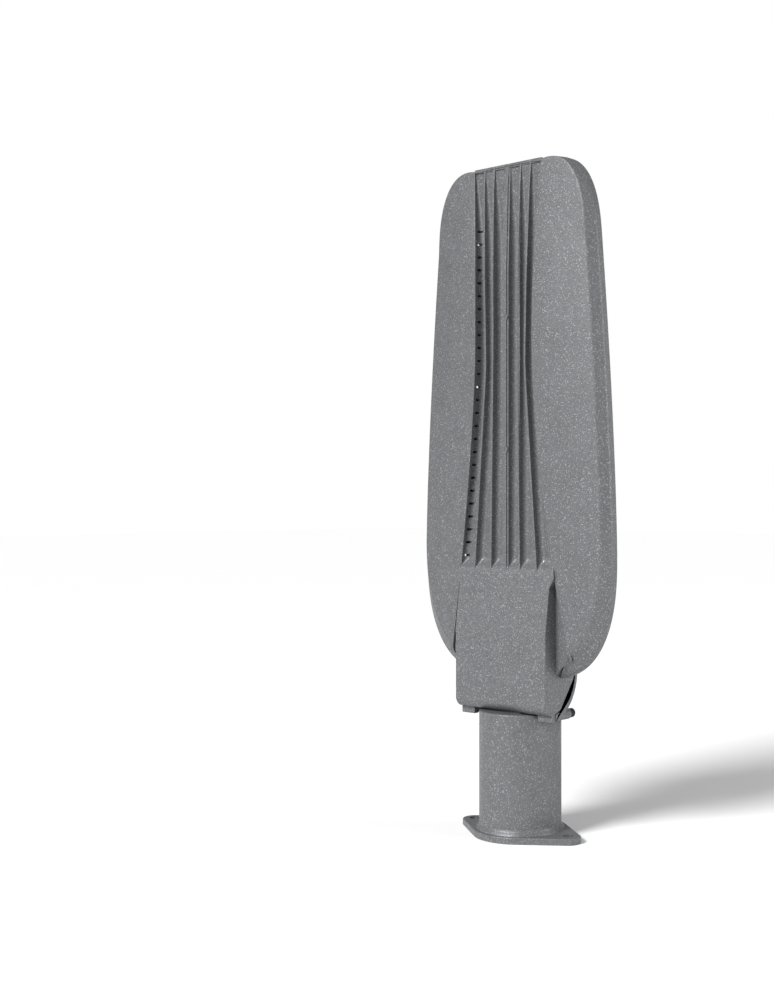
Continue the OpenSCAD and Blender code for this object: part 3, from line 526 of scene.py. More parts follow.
def channel_row(z):
    """Loop of points across the channel, or across the box's ramp below it."""
    base = floor_y(z)
    crest = min(base - 0.02, crest_y(z))
    inner, outer = fin_line(z)
    thin = shape_of().fin_thickness / MM / 2
    ledge = max(0.03, SHOULDER_X - 0.003 * max(0, z - WAIST_Z) - inner - thin)
    opened = smooth((z - 205) / 9)
    reach = lerp(BOX_HALF - 1.3, wall_x(z, -16.5), opened)
    # Each valley: the two crest edges that bound it, and the width of the shoulders below them
    valleys = ((RIB_CREST_HALF, RIB_HALF - RIB_CREST_HALF, inner - thin, 0.03),
               (inner + thin, ledge, outer - thin, 0.03), (outer + thin, 0.03, reach, 0.0))
    right = []
    for a, a_ledge, b, b_ledge in valleys:
        gap = b - b_ledge - a - a_ledge
        tall = base - crest
        radius = min(VALLEY_ROUND, 0.47 * gap)
        floor = base - min(VALLEY_ROUND - radius, 0.3 * tall)
        radius = min(radius, 0.6 * (floor - crest))
        right += [(a + x, y) for x, y in flank(crest, floor, radius, a_ledge, a < inner)]
        right += [(b - x, y) for x, y in reversed(flank(crest, floor, radius, b_ledge))]
    # The last valley climbs the channel wall only as far as its fillet
    right = right[:-5] + [(reach + 1.3, right[-6][1]), (reach + 1.3, SEAT_Y - 0.6)]
    loop = [(-x, y) for x, y in reversed(right)] + right
    return [(x, y, z) for x, y in loop]


def channel():
    """Channel floor with its fins, and the ramp of the driver box, as one solid."""
    heights = [165 + 2.5 * i for i in range(15)] + [202 + i for i in range(34)]
    heights += [236 + 4 * i for i in range(74)] + [530 + i for i in range(18)] + [547.6]
    return skin_over("channel", [channel_row(z) for z in heights])


def channel_walls():
    """Walls that carry the lips, leaning in towards their feet."""
    walls = []
    for side in (-1, 1):
        rows = []
        for i in range(101):
            z = lerp(EDGE_LOW_Z, EDGE_TOP_Z - 0.2, i / 100)
            top, foot = edge_y(z) + 1.2, SEAT_Y - 0.2
            a, b = wall_x(z, top), wall_x(z, foot)
            rows.append([(side * a, top, z), (side * b, foot, z),
                         (side * (b + SKIN), foot, z), (side * (a + SKIN), top, z)])
        walls.append(skin_over("wall", rows))
    return together("channel_walls", walls)


def louvre_slots(shape):
    """Cutters for the louvres in both channel walls."""
    slots = []
    half = shape.louvre_height / MM / 2
    count = math.floor((TIP_LAW_Z - LOUVRE_END - WIDEST_Z) / LOUVRE_PITCH)
    for i in range(count + 1):
        z = WIDEST_Z + i * LOUVRE_PITCH
        top = edge_y(z) + LOUVRE_DROP
        outline = rounded_rect((top, z - half), (top + LOUVRE_DEEP, z + half), 1.0, 3)
        for side in (-1, 1):
            span = sorted((side * (edge_x(z) - 3.5), side * (edge_x(z) + 5)))
            slots.append(prism("slot", outline, "x", *span))
    return together("louvre_slots", slots)


def sweep(rise, drop, start_y, steps=32):
    """Curve round the lower end of the box, from the finned side to the light side."""
    y, z, ry, rz = SWEEP
    ry, rz = ry + rise, rz + drop
    start = math.acos((start_y - y) / ry)
    turns = [start * (1 - i / steps) for i in range(steps + 1)]
    return [(y + ry * math.cos(t), z - rz * math.sin(t)) for t in turns]


def box_outline(depth):
    """Side view of the driver box, moved in by a depth."""
    front, low, r = BOX_FRONT + depth, BOX_LOW_Z + depth, 8 - depth * 0.6
    turn = arc((front + r, low + r), r, 180, 270, 10)
    if depth:
        top = [(BOX_BACK - depth, BOX_TOP_Z - depth), (SEAT_Y - 1, BOX_TOP_Z - depth),
               (-FIN_DEPTH + depth, FIN_END_Z)]
    else:
        top = [(BOX_BACK, BOX_TOP_Z), (SEAT_Y - 1, BOX_TOP_Z - 1), (-13, 206)]
    return [(front, RAMP_Z - depth * 0.15)] + turn + sweep(-depth, -depth, front + r + 1) + top


def mirrored(make):
    """Two solids, one on each side; make gets -1 or 1 and a function that orders a span in X."""
    return [make(side, lambda a, b, s=side: sorted((s * a, s * b))) for side in (-1, 1)]


def casting(shape):
    """The whole head casting."""
    head = prism("casting", box_outline(0), "x", -BOX_HALF, BOX_HALF, (1.2, 1.2), 4)
    tip = block("end_wall", (-35.5, 35.5), (-16.4, -0.5), (546.4, 549.6))
    seat = block("seat", (-36, 36), (SEAT_Y - 2.6, SEAT_Y), (BOX_TOP_Z - 3, TOP_Z - 2.2))
    combine(head, [channel(), seat, tip])
    valleys = mirrored(lambda side, span: prism(
        "valley", [(side * x, z) for x, z in (
            (BOX_HALF - 1, LOW_Z + 4), (edge_x(EDGE_LOW_Z) + 1, EDGE_LOW_Z + 2),
            (edge_x(FIN_END_Z) + 2, FIN_END_Z + 6), (BOX_HALF - 1, FIN_END_Z + 6))],
        "y", -13.4, SEAT_Y - 0.5))
    ears = mirrored(lambda side, span: block(
        "hinge_ear", span(*EAR_KNUCKLE), (BOX_BACK - 6, BOX_BACK), (BOX_TOP_Z - 1, HINGE[1])))
    eyes = mirrored(lambda side, span: rod(
        "hinge_eye", "x", 3, *span(*EAR_KNUCKLE), HINGE, 32, (0.4, 0.4)))
    combine(head, [together("valleys", valleys), together("hinge_ears", ears),
                   together("hinge_eyes", eyes)])
    slab = block("partition", (-60, 60), (-40, 40), PARTITION)
    bay = combine(prism("bay", box_outline(3), "x", -BAY_HALF, BAY_HALF), [slab], "DIFFERENCE")
    room = block("room", (-BAY_HALF, BAY_HALF), (-7, BOX_BACK + 5), (PARTITION[1], BAY_TOP_Z))
    neck = block("neck", (-NECK_HALF - 0.5, NECK_HALF + 0.5), (LIP[0], 40), (90, PARTITION[0]))
    wire = rod("wire_way", "z", 3.4, BAY_TOP_Z - 1, BOX_TOP_Z + 1, (0, -4.4), 32)
    combine(head, [bay, room, neck, wire], "DIFFERENCE")
    combine(head, [channel_walls(), wings(shape)])
    combine(head, [louvre_slots(shape)], "DIFFERENCE")
    lips = mirrored(lambda side, span: block(
        "lip", span(NECK_HALF + 0.6, BOX_HALF - 0.2), LIP[:2], (LIP[2], BOX_LOW_Z + 2.4), 0.8))
    cheeks = mirrored(lambda side, span: block(
        "cheek", span(28.95, 33.95), (BOX_FRONT + 2, 5), (117, PARTITION[0] + 1), 0.6))
    combine(head, [together("lips", lips), together("cheeks", cheeks)])
    posts = [rod("post", "y", 3, -19.5 if z > RAMP_Z else BOX_FRONT + 2, -15.55, (x, z), 28)
             for x, z in POSTS]
    bosses = [rod("boss", "y", 3.2, -16.4, -2.05, p, 32) for p in frame_spots()]
    bosses += [rod("boss", "y", 2.15, -20.05, -14, p, 32) for p in RIB_MARKS]
    combine(head, [together("posts", posts), together("bosses", bosses)])
    holes = [rod("hole", "x", 4.2, -35, 35, PIVOT, 40)]
    holes += mirrored(lambda side, span: rod("hole", "x", 1.51, *span(36, 44), HINGE, 24))
    holes += mirrored(lambda side, span: rod(
        "hole", "y", 3.4, LIP[0] + 1, LIP[1] + 1, (side * COVER_SCREW[0], COVER_SCREW[1]), 40))
    holes += [rod("hole", "y", 1.6, -19.4, -14.5, p, 24) for p in POSTS]
    holes += [rod("hole", "y", 1.6, -9, -1, p, 24) for p in frame_spots()]
    holes += [rod("hole", "z", 8.2, PARTITION[0] - 1, PARTITION[1] + 1, (0, -4), 48),
              rod("hole", "z", 2.6, PARTITION[0] - 1, PARTITION[1] + 1, (-38.98, -4), 32)]
    holes += [rod("mark", "y", 1.5, -24, -19.7, p, 28) for p in RIB_MARKS]
    combine(head, [together("holes", holes)], "DIFFERENCE")
    return head


def frame_spots():
    """Places of the screws that hold the light frame."""
    spots = []
    for side in (-1, 1):
        for share in (0.07, 0.38, 0.7):
            z = lerp(*FRAME_Z, share)
            spots.append((side * (side_x(z) - 21), z))
    return spots + [(side * (TOP_FLAT + 18), TIP_LAW_Z - 29) for side in (-1, 1)]


# ---------------------------------------------------------------- spigot, cover and screws


def pole_spigot():
    """Tube with its collar, cable hole and flats, the two-eared flange and the pivot ears."""
    tube = [(BORE_R, 0), (36.6, 0), (36.6, FLANGE_T), (36.2, FLANGE_T + 1.2),
            (35.2, FLANGE_T + 2.3), (TUBE_R + 0.3, FLANGE_T + 3.6), (TUBE_R, FLANGE_T + 5.4)]
    tube += [(TUBE_R, z) for z in (70, 80, 83, 86, 89, 92, 95, 99)]
    tube += [(TUBE_R - 1.2 * (1 - math.cos(math.radians(a))),
              TUBE_END_Z - 1.2 + 1.2 * math.sin(math.radians(a))) for a in (0, 18, 36, 54, 72)]
    tube += [(TUBE_R - 1.2, TUBE_END_Z), (11.7, TUBE_END_Z), (11.2, 102.2), (11, 101.7),
             (11, 96.4), (23.7, 96.4), (23.7, BORE_END_Z), (BORE_R, BORE_END_Z)]

    def flats(radius, z):
        flat = lerp(TUBE_R, FLAT_X, min(1, max(0, (z - 80) / 15)))
        return flat - max(0, TUBE_R - radius) if radius > 30 and z > 78 else 99

    spigot = lathe("pole_spigot", tube, 144, flats)
    turn = math.degrees(math.acos((FLANGE_R - FLANGE_EAR_R) / BOLT_X))
    plan = arc((BOLT_X, 0), FLANGE_EAR_R, -turn, turn, 16)
    plan += arc((0, 0), FLANGE_R, turn, 180 - turn, 24)
    plan += arc((-BOLT_X, 0), FLANGE_EAR_R, 180 - turn, 180 + turn, 16)
    plan += arc((0, 0), FLANGE_R, 180 + turn, 360 - turn, 24)
    plate = prism("flange", plan, "z", 0, FLANGE_T, (0.5, 1.0), 4)
    bolt_holes = [rod("hole", "z", 4.5, -1, 6, (x, 0), 40) for x in (-BOLT_X, BOLT_X)]
    combine(plate, [together("bolt_holes", bolt_holes), rod("bore", "z", 32, -1, 7, (0, 0), 64)],
            "DIFFERENCE")
    shape = arc(PIVOT, PIVOT_EAR_R, 180, 0, 32)
    shape += [(PIVOT[0] + side * PIVOT_EAR_R, 101) for side in (1, -1)]
    ears = mirrored(lambda side, span: prism("ear", shape, "x", *span(*PIVOT_EAR), (0.8, 0.8)))
    combine(spigot, [plate, together("ears", ears)])
    return combine(spigot, [rod("hole", "x", 4.06, -28, 28, PIVOT, 48)], "DIFFERENCE")


def cover_outline(inner_gap):
    """Side view of the cover, with its inner face set out by a gap."""
    rim_y, face_y = COVER_RIM
    top = BOX_TOP_Z - 0.5
    outer = sweep(4.5, 5.8, LIP[1] + 0.3)
    inner = sweep(0.3 + inner_gap, 0.3 + inner_gap, LIP[1] + 0.3)
    return outer + [(face_y, top), (rim_y + inner_gap, top)] + inner[::-1]


def gear_cover():
    """Hinged cover that wraps under the driver box."""
    rim_y, face_y = COVER_RIM
    top = BOX_TOP_Z - 0.5
    cuts = [0.6] + [0] * 32 + [1.2] + [0] * 34
    skin, rim = (soften(cover_outline(gap), cuts, 4) for gap in (2.0, 0))
    cover = prism("gear_cover", skin, "x", -BOX_HALF, BOX_HALF, (0.9, 0.9))
    rims = mirrored(lambda side, span: prism(
        "rim", rim, "x", *span(BAY_HALF + 0.2, BOX_HALF), (0.9, 0.9)))
    lugs = mirrored(lambda side, span: rod(
        "lug", "y", 4.5, -7, 12, (side * COVER_SCREW[0], COVER_SCREW[1]), 40, (0.4, 0.4)))
    combine(cover, [together("rims", rims), together("lugs", lugs)])
    knuckles = mirrored(lambda side, span: rod(
        "knuckle", "x", 3, *span(*COVER_KNUCKLE), HINGE, 32, (0.4, 0.4)))
    roots = mirrored(lambda side, span: block(
        "root", span(*COVER_KNUCKLE), (rim_y + 0.1, face_y - 1), (top - 3, HINGE[1])))
    bars = [block("bar", (1 - BOX_HALF, BOX_HALF - 1), (rim_y, face_y - 1), z)
            for z in ((top - 3.2, top - 0.01), PARTITION)]
    combine(cover, [together("bars", bars), together("roots", roots),
                    together("knuckles", knuckles)])
    neck = prism("neck", rounded_rect((-NECK_HALF, 70), (NECK_HALF, 131), 4, 6), "y", -60, 60)
    low, high, mid = sum(PARTITION) / 2, top - 1.6, BOX_HALF - 2
    groove = prism("groove", rounded_rect((-mid - 1, low - 1), (mid + 1, high + 1), 1.5), "y",
                   rim_y - 1, rim_y + 1.2)
    island = prism("island", rounded_rect((-mid + 1, low + 1), (mid - 1, high - 1), 1.0), "y",
                   rim_y - 2, rim_y + 2)
    combine(groove, [island], "DIFFERENCE")
    holes = mirrored(lambda side, span: rod(
        "hole", "y", 2.06, -20, 30, (side * COVER_SCREW[0], COVER_SCREW[1]), 32))
    holes += mirrored(lambda side, span: rod("hole", "x", 1.56, *span(28, 38), HINGE, 24))
    return combine(cover, [neck, groove, together("holes", holes)], "DIFFERENCE")


def cap_screw(side):
    """Black socket-head screw with a knurled head."""
    low, seat, high = LIP[1] - 3, 12.9, 18.1
    x, z = side * COVER_SCREW[0], COVER_SCREW[1]
    ridges = []
    for i in range(72):
        a, r = math.tau * i / 72, 3.66 if i % 2 else 3.8
        ridges.append((x + r * math.cos(a), z + r * math.sin(a)))
    head = prism("cap_screw", ridges, "y", seat, high, (0.15, 0.55))
    shank = rod("shank", "y", 2, low, seat + 0.3, (x, z), 32, (0.5, 0))
    combine(head, [shank])
    socket = rod("socket", "y", 1.8, seat + 2.3, high + 1, (x, z), 6, turn=30)
    return combine(head, [socket], "DIFFERENCE")


# ---------------------------------------------------------------- shader groups and finishes


def add(nodes, kind, **values):
    """A shader node with its settings and its inputs' values."""
    node = nodes.new(kind)
    for key, value in values.items():
        if hasattr(node, key):
            setattr(node, key, value)
        else:
            node.inputs[key.replace("_", " ")].default_value = value
    return node


def group_with(name, inputs, outputs):
    """A new shader node group, its nodes and its input and output ends."""
    tree = bpy.data.node_groups.new(name, "ShaderNodeTree")
    for title, kind, value in inputs:
        socket = tree.interface.new_socket(title, in_out="INPUT", socket_type=kind)
        socket.default_value = value
    for title, kind in outputs:
        tree.interface.new_socket(title, in_out="OUTPUT", socket_type=kind)
    return tree, tree.nodes.new("NodeGroupInput"), tree.nodes.new("NodeGroupOutput")


def noise(tree, coords, scale, detail=2.0, rough=0.5):
    """A noise texture on given coordinates."""
    node = add(tree.nodes, "ShaderNodeTexNoise", Detail=detail, Roughness=rough)
    tree.links.new(coords, node.inputs["Vector"])
    if isinstance(scale, (int, float)):
        node.inputs["Scale"].default_value = scale
    else:
        tree.links.new(scale, node.inputs["Scale"])
    return node.outputs["Fac"]


def remap(tree, value, low, high, to_low=0.0, to_high=1.0):
    """A value's range stretched to another, with its ends held."""
    node = add(tree.nodes, "ShaderNodeMapRange", interpolation_type="SMOOTHSTEP")
    for title, v in (("From Min", low), ("From Max", high), ("To Min", to_low), ("To Max", to_high)):
        if isinstance(v, (int, float)):
            node.inputs[title].default_value = v
        else:
            tree.links.new(v, node.inputs[title])
    tree.links.new(value, node.inputs["Value"])
    return node.outputs["Result"]


def mix(tree, factor, a, b):
    """Two colours mixed by a factor; each may be a colour or a socket."""
    node = add(tree.nodes, "ShaderNodeMix", data_type="RGBA")
    for socket, v in ((node.inputs["Factor"], factor), (node.inputs[6], a), (node.inputs[7], b)):
        if isinstance(v, bpy.types.NodeSocket):
            tree.links.new(v, socket)
        else:
            socket.default_value = v
    return node.outputs[2]


def math_node(tree, operation, a, b):
    """One step of arithmetic on values or sockets."""
    node = add(tree.nodes, "ShaderNodeMath", operation=operation)
    for socket, v in zip(node.inputs, (a, b)):
        if isinstance(v, (int, float)):
            socket.default_value = v
        else:
            tree.links.new(v, socket)
    return node.outputs[0]


def hammered_coat_group():
    """Powder coat: pale flecks and painted shade in pits over soft mottling, with a hammered grain.
    """
    tree, start, end = group_with(
        "hammered_coat",
        [("Base", "NodeSocketColor", (0.2, 0.2, 0.21, 1)),
         ("Fleck", "NodeSocketColor", (0.5, 0.5, 0.5, 1)),
         ("Dark", "NodeSocketColor", (0.1, 0.1, 0.1, 1)),
         ("Grain Scale", "NodeSocketFloat", 700.0),
         ("Fleck Scale", "NodeSocketFloat", 520.0),
         ("Fleck Level", "NodeSocketFloat", 0.62),
         ("Mottle", "NodeSocketFloat", 0.35)],
        [("Color", "NodeSocketColor"), ("Roughness", "NodeSocketFloat"),
         ("Height", "NodeSocketFloat")])
    coords = tree.nodes.new("ShaderNodeTexCoord").outputs["Object"]
    pins = start.outputs
    broad = noise(tree, coords, 46.0, 3.0, 0.6)
    grain = noise(tree, coords, pins["Grain Scale"], 2.0, 0.55)
    fleck_noise = noise(tree, coords, pins["Fleck Scale"], 1.0, 0.4)
    pits = noise(tree, coords, 300.0, 2.0, 0.6)
    level = math_node(tree, "ADD", pins["Fleck Level"], 0.07)
    flecks = remap(tree, fleck_noise, pins["Fleck Level"], level)
    soft = math_node(tree, "MULTIPLY", remap(tree, broad, 0.3, 0.7), pins["Mottle"])
    fine = math_node(tree, "MULTIPLY", remap(tree, grain, 0.32, 0.68), 0.62)
    # Painted shade: random pit spots are darkened towards Dark in place of the shade in the coat's
    # dimples.
    shadow = math_node(tree, "MULTIPLY", remap(tree, pits, 0.52, 0.66), 0.2)
    dark = math_node(tree, "ADD", math_node(tree, "ADD", soft, fine), shadow)
    colour = mix(tree, dark, pins["Base"], pins["Dark"])
    colour = mix(tree, flecks, colour, pins["Fleck"])
    tree.links.new(colour, end.inputs["Color"])
    rough = remap(tree, grain, 0.3, 0.7, 0.40, 0.56)
    rough = math_node(tree, "SUBTRACT", rough, math_node(tree, "MULTIPLY", flecks, 0.14))
    tree.links.new(rough, end.inputs["Roughness"])
    height = math_node(tree, "ADD", math_node(tree, "MULTIPLY", grain, 0.6),
                       math_node(tree, "MULTIPLY", flecks, 0.4))
    tree.links.new(height, end.inputs["Height"])
    return tree


def fine_wear_group():
    """Handling marks for small parts: a little unevenness in tone, gloss and surface."""
    tree, start, end = group_with(
        "fine_wear",
        [("Base", "NodeSocketColor", (0.5, 0.5, 0.5, 1)),
         ("Worn", "NodeSocketColor", (0.6, 0.6, 0.6, 1)),
         ("Scale", "NodeSocketFloat", 400.0),
         ("Stretch", "NodeSocketVector", (1.0, 1.0, 1.0)),
         ("Rough Low", "NodeSocketFloat", 0.3),
         ("Rough High", "NodeSocketFloat", 0.5)],
        [("Color", "NodeSocketColor"), ("Roughness", "NodeSocketFloat"),
         ("Height", "NodeSocketFloat")])
    coords = tree.nodes.new("ShaderNodeTexCoord").outputs["Object"]
    stretched = add(tree.nodes, "ShaderNodeVectorMath", operation="MULTIPLY")
    tree.links.new(coords, stretched.inputs[0])
    tree.links.new(start.outputs["Stretch"], stretched.inputs[1])
    grain = noise(tree, stretched.outputs[0], start.outputs["Scale"], 3.0, 0.6)
    smudge = noise(tree, coords, 70.0, 2.0, 0.5)
    tone = math_node(tree, "ADD", math_node(tree, "MULTIPLY", remap(tree, grain, 0.3, 0.7), 0.5),
                     math_node(tree, "MULTIPLY", remap(tree, smudge, 0.35, 0.7), 0.5))
    tree.links.new(mix(tree, tone, start.outputs["Base"], start.outputs["Worn"]),
                   end.inputs["Color"])
    tree.links.new(remap(tree, tone, 0.0, 1.0, start.outputs["Rough Low"],
                         start.outputs["Rough High"]), end.inputs["Roughness"])
    tree.links.new(grain, end.inputs["Height"])
    return tree


def shared(name, make):
    """A node group that is built once and used by every finish."""
    return bpy.data.node_groups.get(name) or make()


def finish_with(name, group, values, bump, distance, **settings):
    """A material: a shared group feeds the shader's colour, roughness and bump."""
    known = bpy.data.materials.get(name)
    if known:
        return known
    material = bpy.data.materials.new(name)
    material.use_nodes = True
    tree = material.node_tree
    shader = tree.nodes["Principled BSDF"]
    for title, value in settings.items():
        shader.inputs[title.replace("_", " ")].default_value = value
    effect = add(tree.nodes, "ShaderNodeGroup")
    effect.node_tree = group
    for title, value in values.items():
        effect.inputs[title].default_value = value
    tree.links.new(effect.outputs["Color"], shader.inputs["Base Color"])
    tree.links.new(effect.outputs["Roughness"], shader.inputs["Roughness"])
    dents = add(tree.nodes, "ShaderNodeBump", Strength=bump, Distance=distance)
    tree.links.new(effect.outputs["Height"], dents.inputs["Height"])
    tree.links.new(dents.outputs["Normal"], shader.inputs["Normal"])
    return material


def coat_finish(finish):
    """Grey hammered powder coat of the castings."""
    base = tuple(finish.coat)
    group = shared("hammered_coat", hammered_coat_group)
    return finish_with(
        "grey_powder_coat", group,
        {"Base": (*base, 1), "Fleck": (*finish.flecks, 1),
         "Dark": (*[c * 0.55 for c in base], 1), "Grain Scale": finish.grain_scale,
         "Fleck Scale": finish.fleck_scale, "Fleck Level": finish.fleck_level,
         "Mottle": finish.mottle},
        0.55, 0.0003, Metallic=0.25, Specular_IOR_Level=0.5)


# Each small finish: colour, worn colour, scale of its marks, roughness span, bump, other settings
SMALL_FINISHES = {
    "stainless_steel": ((0.58, 0.58, 0.6), (0.46, 0.46, 0.48), 500, (0.24, 0.42), 0.15,
                        {"stretch": (1, 6, 1), "Metallic": 1.0}),
    "black_oxide": ((0.012, 0.012, 0.013), (0.03, 0.03, 0.033), 700, (0.3, 0.5), 0.2,
                    {"Metallic": 0.6}),
    "brass": ((0.75, 0.55, 0.22), (0.55, 0.38, 0.14), 500, (0.22, 0.42), 0.12, {"Metallic": 1.0}),
    "grey_silicone": ((0.1, 0.105, 0.11), (0.15, 0.155, 0.16), 600, (0.55, 0.75), 0.3),
    "black_rubber": ((0.015, 0.015, 0.016), (0.035, 0.035, 0.037), 700, (0.5, 0.7), 0.3),
    "solder_mask": ((0.82, 0.83, 0.82), (0.72, 0.73, 0.72), 300, (0.25, 0.36), 0.1,
                    {"Coat_Weight": 0.2}),
    "phosphor": ((0.85, 0.6, 0.08), (0.9, 0.72, 0.2), 900, (0.3, 0.4), 0.1),
    "thermal_pad": ((0.36, 0.44, 0.5), (0.3, 0.37, 0.43), 900, (0.7, 0.85), 0.3),
    "white_nylon": ((0.8, 0.8, 0.77), (0.7, 0.69, 0.65), 500, (0.35, 0.5), 0.15),
    "black_nylon": ((0.022, 0.022, 0.023), (0.045, 0.045, 0.047), 800, (0.4, 0.55), 0.25),
    "blue_nylon": ((0.04, 0.12, 0.36), (0.05, 0.15, 0.42), 600, (0.35, 0.5), 0.15),
    "red_insulation": ((0.55, 0.02, 0.015), (0.45, 0.03, 0.02), 500, (0.35, 0.5), 0.1),
    "brown_insulation": ((0.2, 0.07, 0.02), (0.27, 0.1, 0.04), 500, (0.35, 0.5), 0.1),
    "anodised_case": ((0.62, 0.63, 0.64), (0.5, 0.51, 0.53), 500, (0.32, 0.5), 0.15,
                      {"stretch": (1, 1, 8), "Metallic": 0.9}),
    "clear_lens": ((0.97, 0.98, 0.99), (0.93, 0.95, 0.97), 200, (0.03, 0.09), 0.03,
                   {"Transmission_Weight": 0.95, "IOR": 1.56}),
}


def small_finish(name):
    """One of the finishes of the small parts."""
    base, worn, scale, rough, bump, *rest = SMALL_FINISHES[name]
    settings = dict(*rest)
    values = {"Base": (*base, 1), "Worn": (*worn, 1), "Scale": scale,
              "Stretch": settings.pop("stretch", (1, 1, 1)),
              "Rough Low": rough[0], "Rough High": rough[1]}
    return finish_with(name, shared("fine_wear", fine_wear_group), values, bump, 0.0001, **settings)


# CAD nodes that are shown as they are, by finish, with the width of the bevel on their edges in mm
KEPT_NODES = {
    "coat": {"front_frame": 0.5},
    "grey_silicone": {"frame_gasket": 0.2, "lens_gaskets": 0.2, "cover_gasket": 0.2},
    "stainless_steel": {
        "frame_screws": 0.25, "gear_tray": 0.2, "tray_screws": 0.25, "driver_screws": 0.2,
        "terminal_screws": 0.15, "clamp_screws": 0.2, "pivot_bolt": 0.4, "pivot_nut": 0.4,
        "pivot_washers": 0.2, "toothed_plates": 0, "hinge_pins": 0.2},
    "solder_mask": {"led_board_upper": 0.2, "led_board_lower": 0.2},
    "phosphor": {"led_chips_upper": 0.15, "led_chips_lower": 0.15},
    "thermal_pad": {"thermal_pads": 0.1},
    "clear_lens": {"lens_upper": 0, "lens_lower": 0},
    "white_nylon": {"board_connectors": 0.2, "terminal_block": 0.3},
    "red_insulation": {"board_jumper_leads": 0, "lead_positive": 0},
    "black_nylon": {
        "lead_negative": 0, "cable_gland": 0.3, "gland_nut": 0.4, "cable_clamp": 0.5,
        "breather_vent": 0.3},
    "anodised_case": {"driver": 1.0},
    "brown_insulation": {"driver_input_leads": 0},
    "blue_nylon": {"surge_protector": 0.8},
    "brass": {"earth_screw": 0.25, "screw_inserts": 0.15},
    "black_rubber": {"screw_washers": 0.15},
}


# ---------------------------------------------------------------- settings


def length(name, description, default, low, high):
    """A length setting, in metres."""
    return FloatProperty(name=name, description=description, default=default, min=low, max=high,
                         subtype="DISTANCE", unit="LENGTH", precision=5)


def colour(name, description, default):
    """A colour setting."""
    return FloatVectorProperty(name=name, description=description, subtype="COLOR", size=3,
                               default=default, min=0, max=1)


def amount(name, description, default, low, high):
    """A plain number setting."""
    return FloatProperty(name=name, description=description, default=default, min=low, max=high)


class LampShape(bpy.types.PropertyGroup):
    """Sizes of the castings' small features."""

    lip_round: length(
        "Lip Rounding", "How far the channel lips' edges are cut back", 0.0008, 0.0002, 0.002)
    rim_round: length(
        "Rim Rounding", "Rounding between the bevel and the upright rim", 0.0012, 0.0002, 0.003)
    crease_round: length(
        "Crease Rounding", "Rounding between the deck and the bevel", 0.0022, 0.0002, 0.005)
    fin_thickness: length(
        "Fin Thickness", "Thickness of a thin fin at its crest", 0.0017, 0.001, 0.003)
    louvre_height: length(
        "Louvre Height", "Height of a louvre slot in the channel walls", 0.002, 0.001, 0.006)


class LampFinish(bpy.types.PropertyGroup):
    """Colours and grain of the powder coat, and the studio."""

    coat: colour("Coat", "Colour of the powder coat", (0.149, 0.152, 0.160))
    flecks: colour("Flecks", "Colour of the pale flecks in the coat", (0.245, 0.25, 0.26))
    grain_scale: amount(
        "Grain Scale", "Fineness of the hammered grain, in waves per metre", 1500.0, 100, 3000)
    fleck_scale: amount(
        "Fleck Scale", "Fineness of the flecks, in waves per metre", 900.0, 100, 3000)
    fleck_level: amount("Fleck Level", "Higher values leave fewer flecks", 0.60, 0.4, 0.9)
    mottle: amount("Mottling", "Strength of the broad, soft mottling", 0.16, 0, 1)
    floor: colour("Floor", "Colour of the studio floor", (0.94, 0.94, 0.94))


def shape_of():
    """The scene's shape settings."""
    return bpy.context.scene.lamp_shape


def finish_of():
    """The scene's finish settings."""
    return bpy.context.scene.lamp_finish


# ---------------------------------------------------------------- operators


def place_light(data, azimuth, elevation, distance):
    """Puts a light in a direction round the lamp, turned towards the lamp's middle."""
    a, e = math.radians(azimuth), math.radians(elevation)
    away = Vector((math.sin(a) * math.cos(e), -math.cos(a) * math.cos(e), math.sin(e)))
    lamp = bpy.data.objects.new(data.name, data)
    lamp.location = Vector((0, 0, 0.3)) + away * distance
    lamp.rotation_mode = "QUATERNION"
    lamp.rotation_quaternion = (-away).to_track_quat("-Z", "Y")
    bpy.context.scene.collection.objects.link(lamp)


def area_light(name, azimuth, elevation, distance, size, power):
    """A soft square light."""
    data = bpy.data.lights.new(name, "AREA")
    data.energy, data.size = power, size
    place_light(data, azimuth, elevation, distance)


def sun_light(name, azimuth, elevation, strength, spread):
    """An even light from far away; its spread in degrees softens the shadows."""
    data = bpy.data.lights.new(name, "SUN")
    data.energy, data.angle = strength, math.radians(spread)
    place_light(data, azimuth, elevation, 2.0)


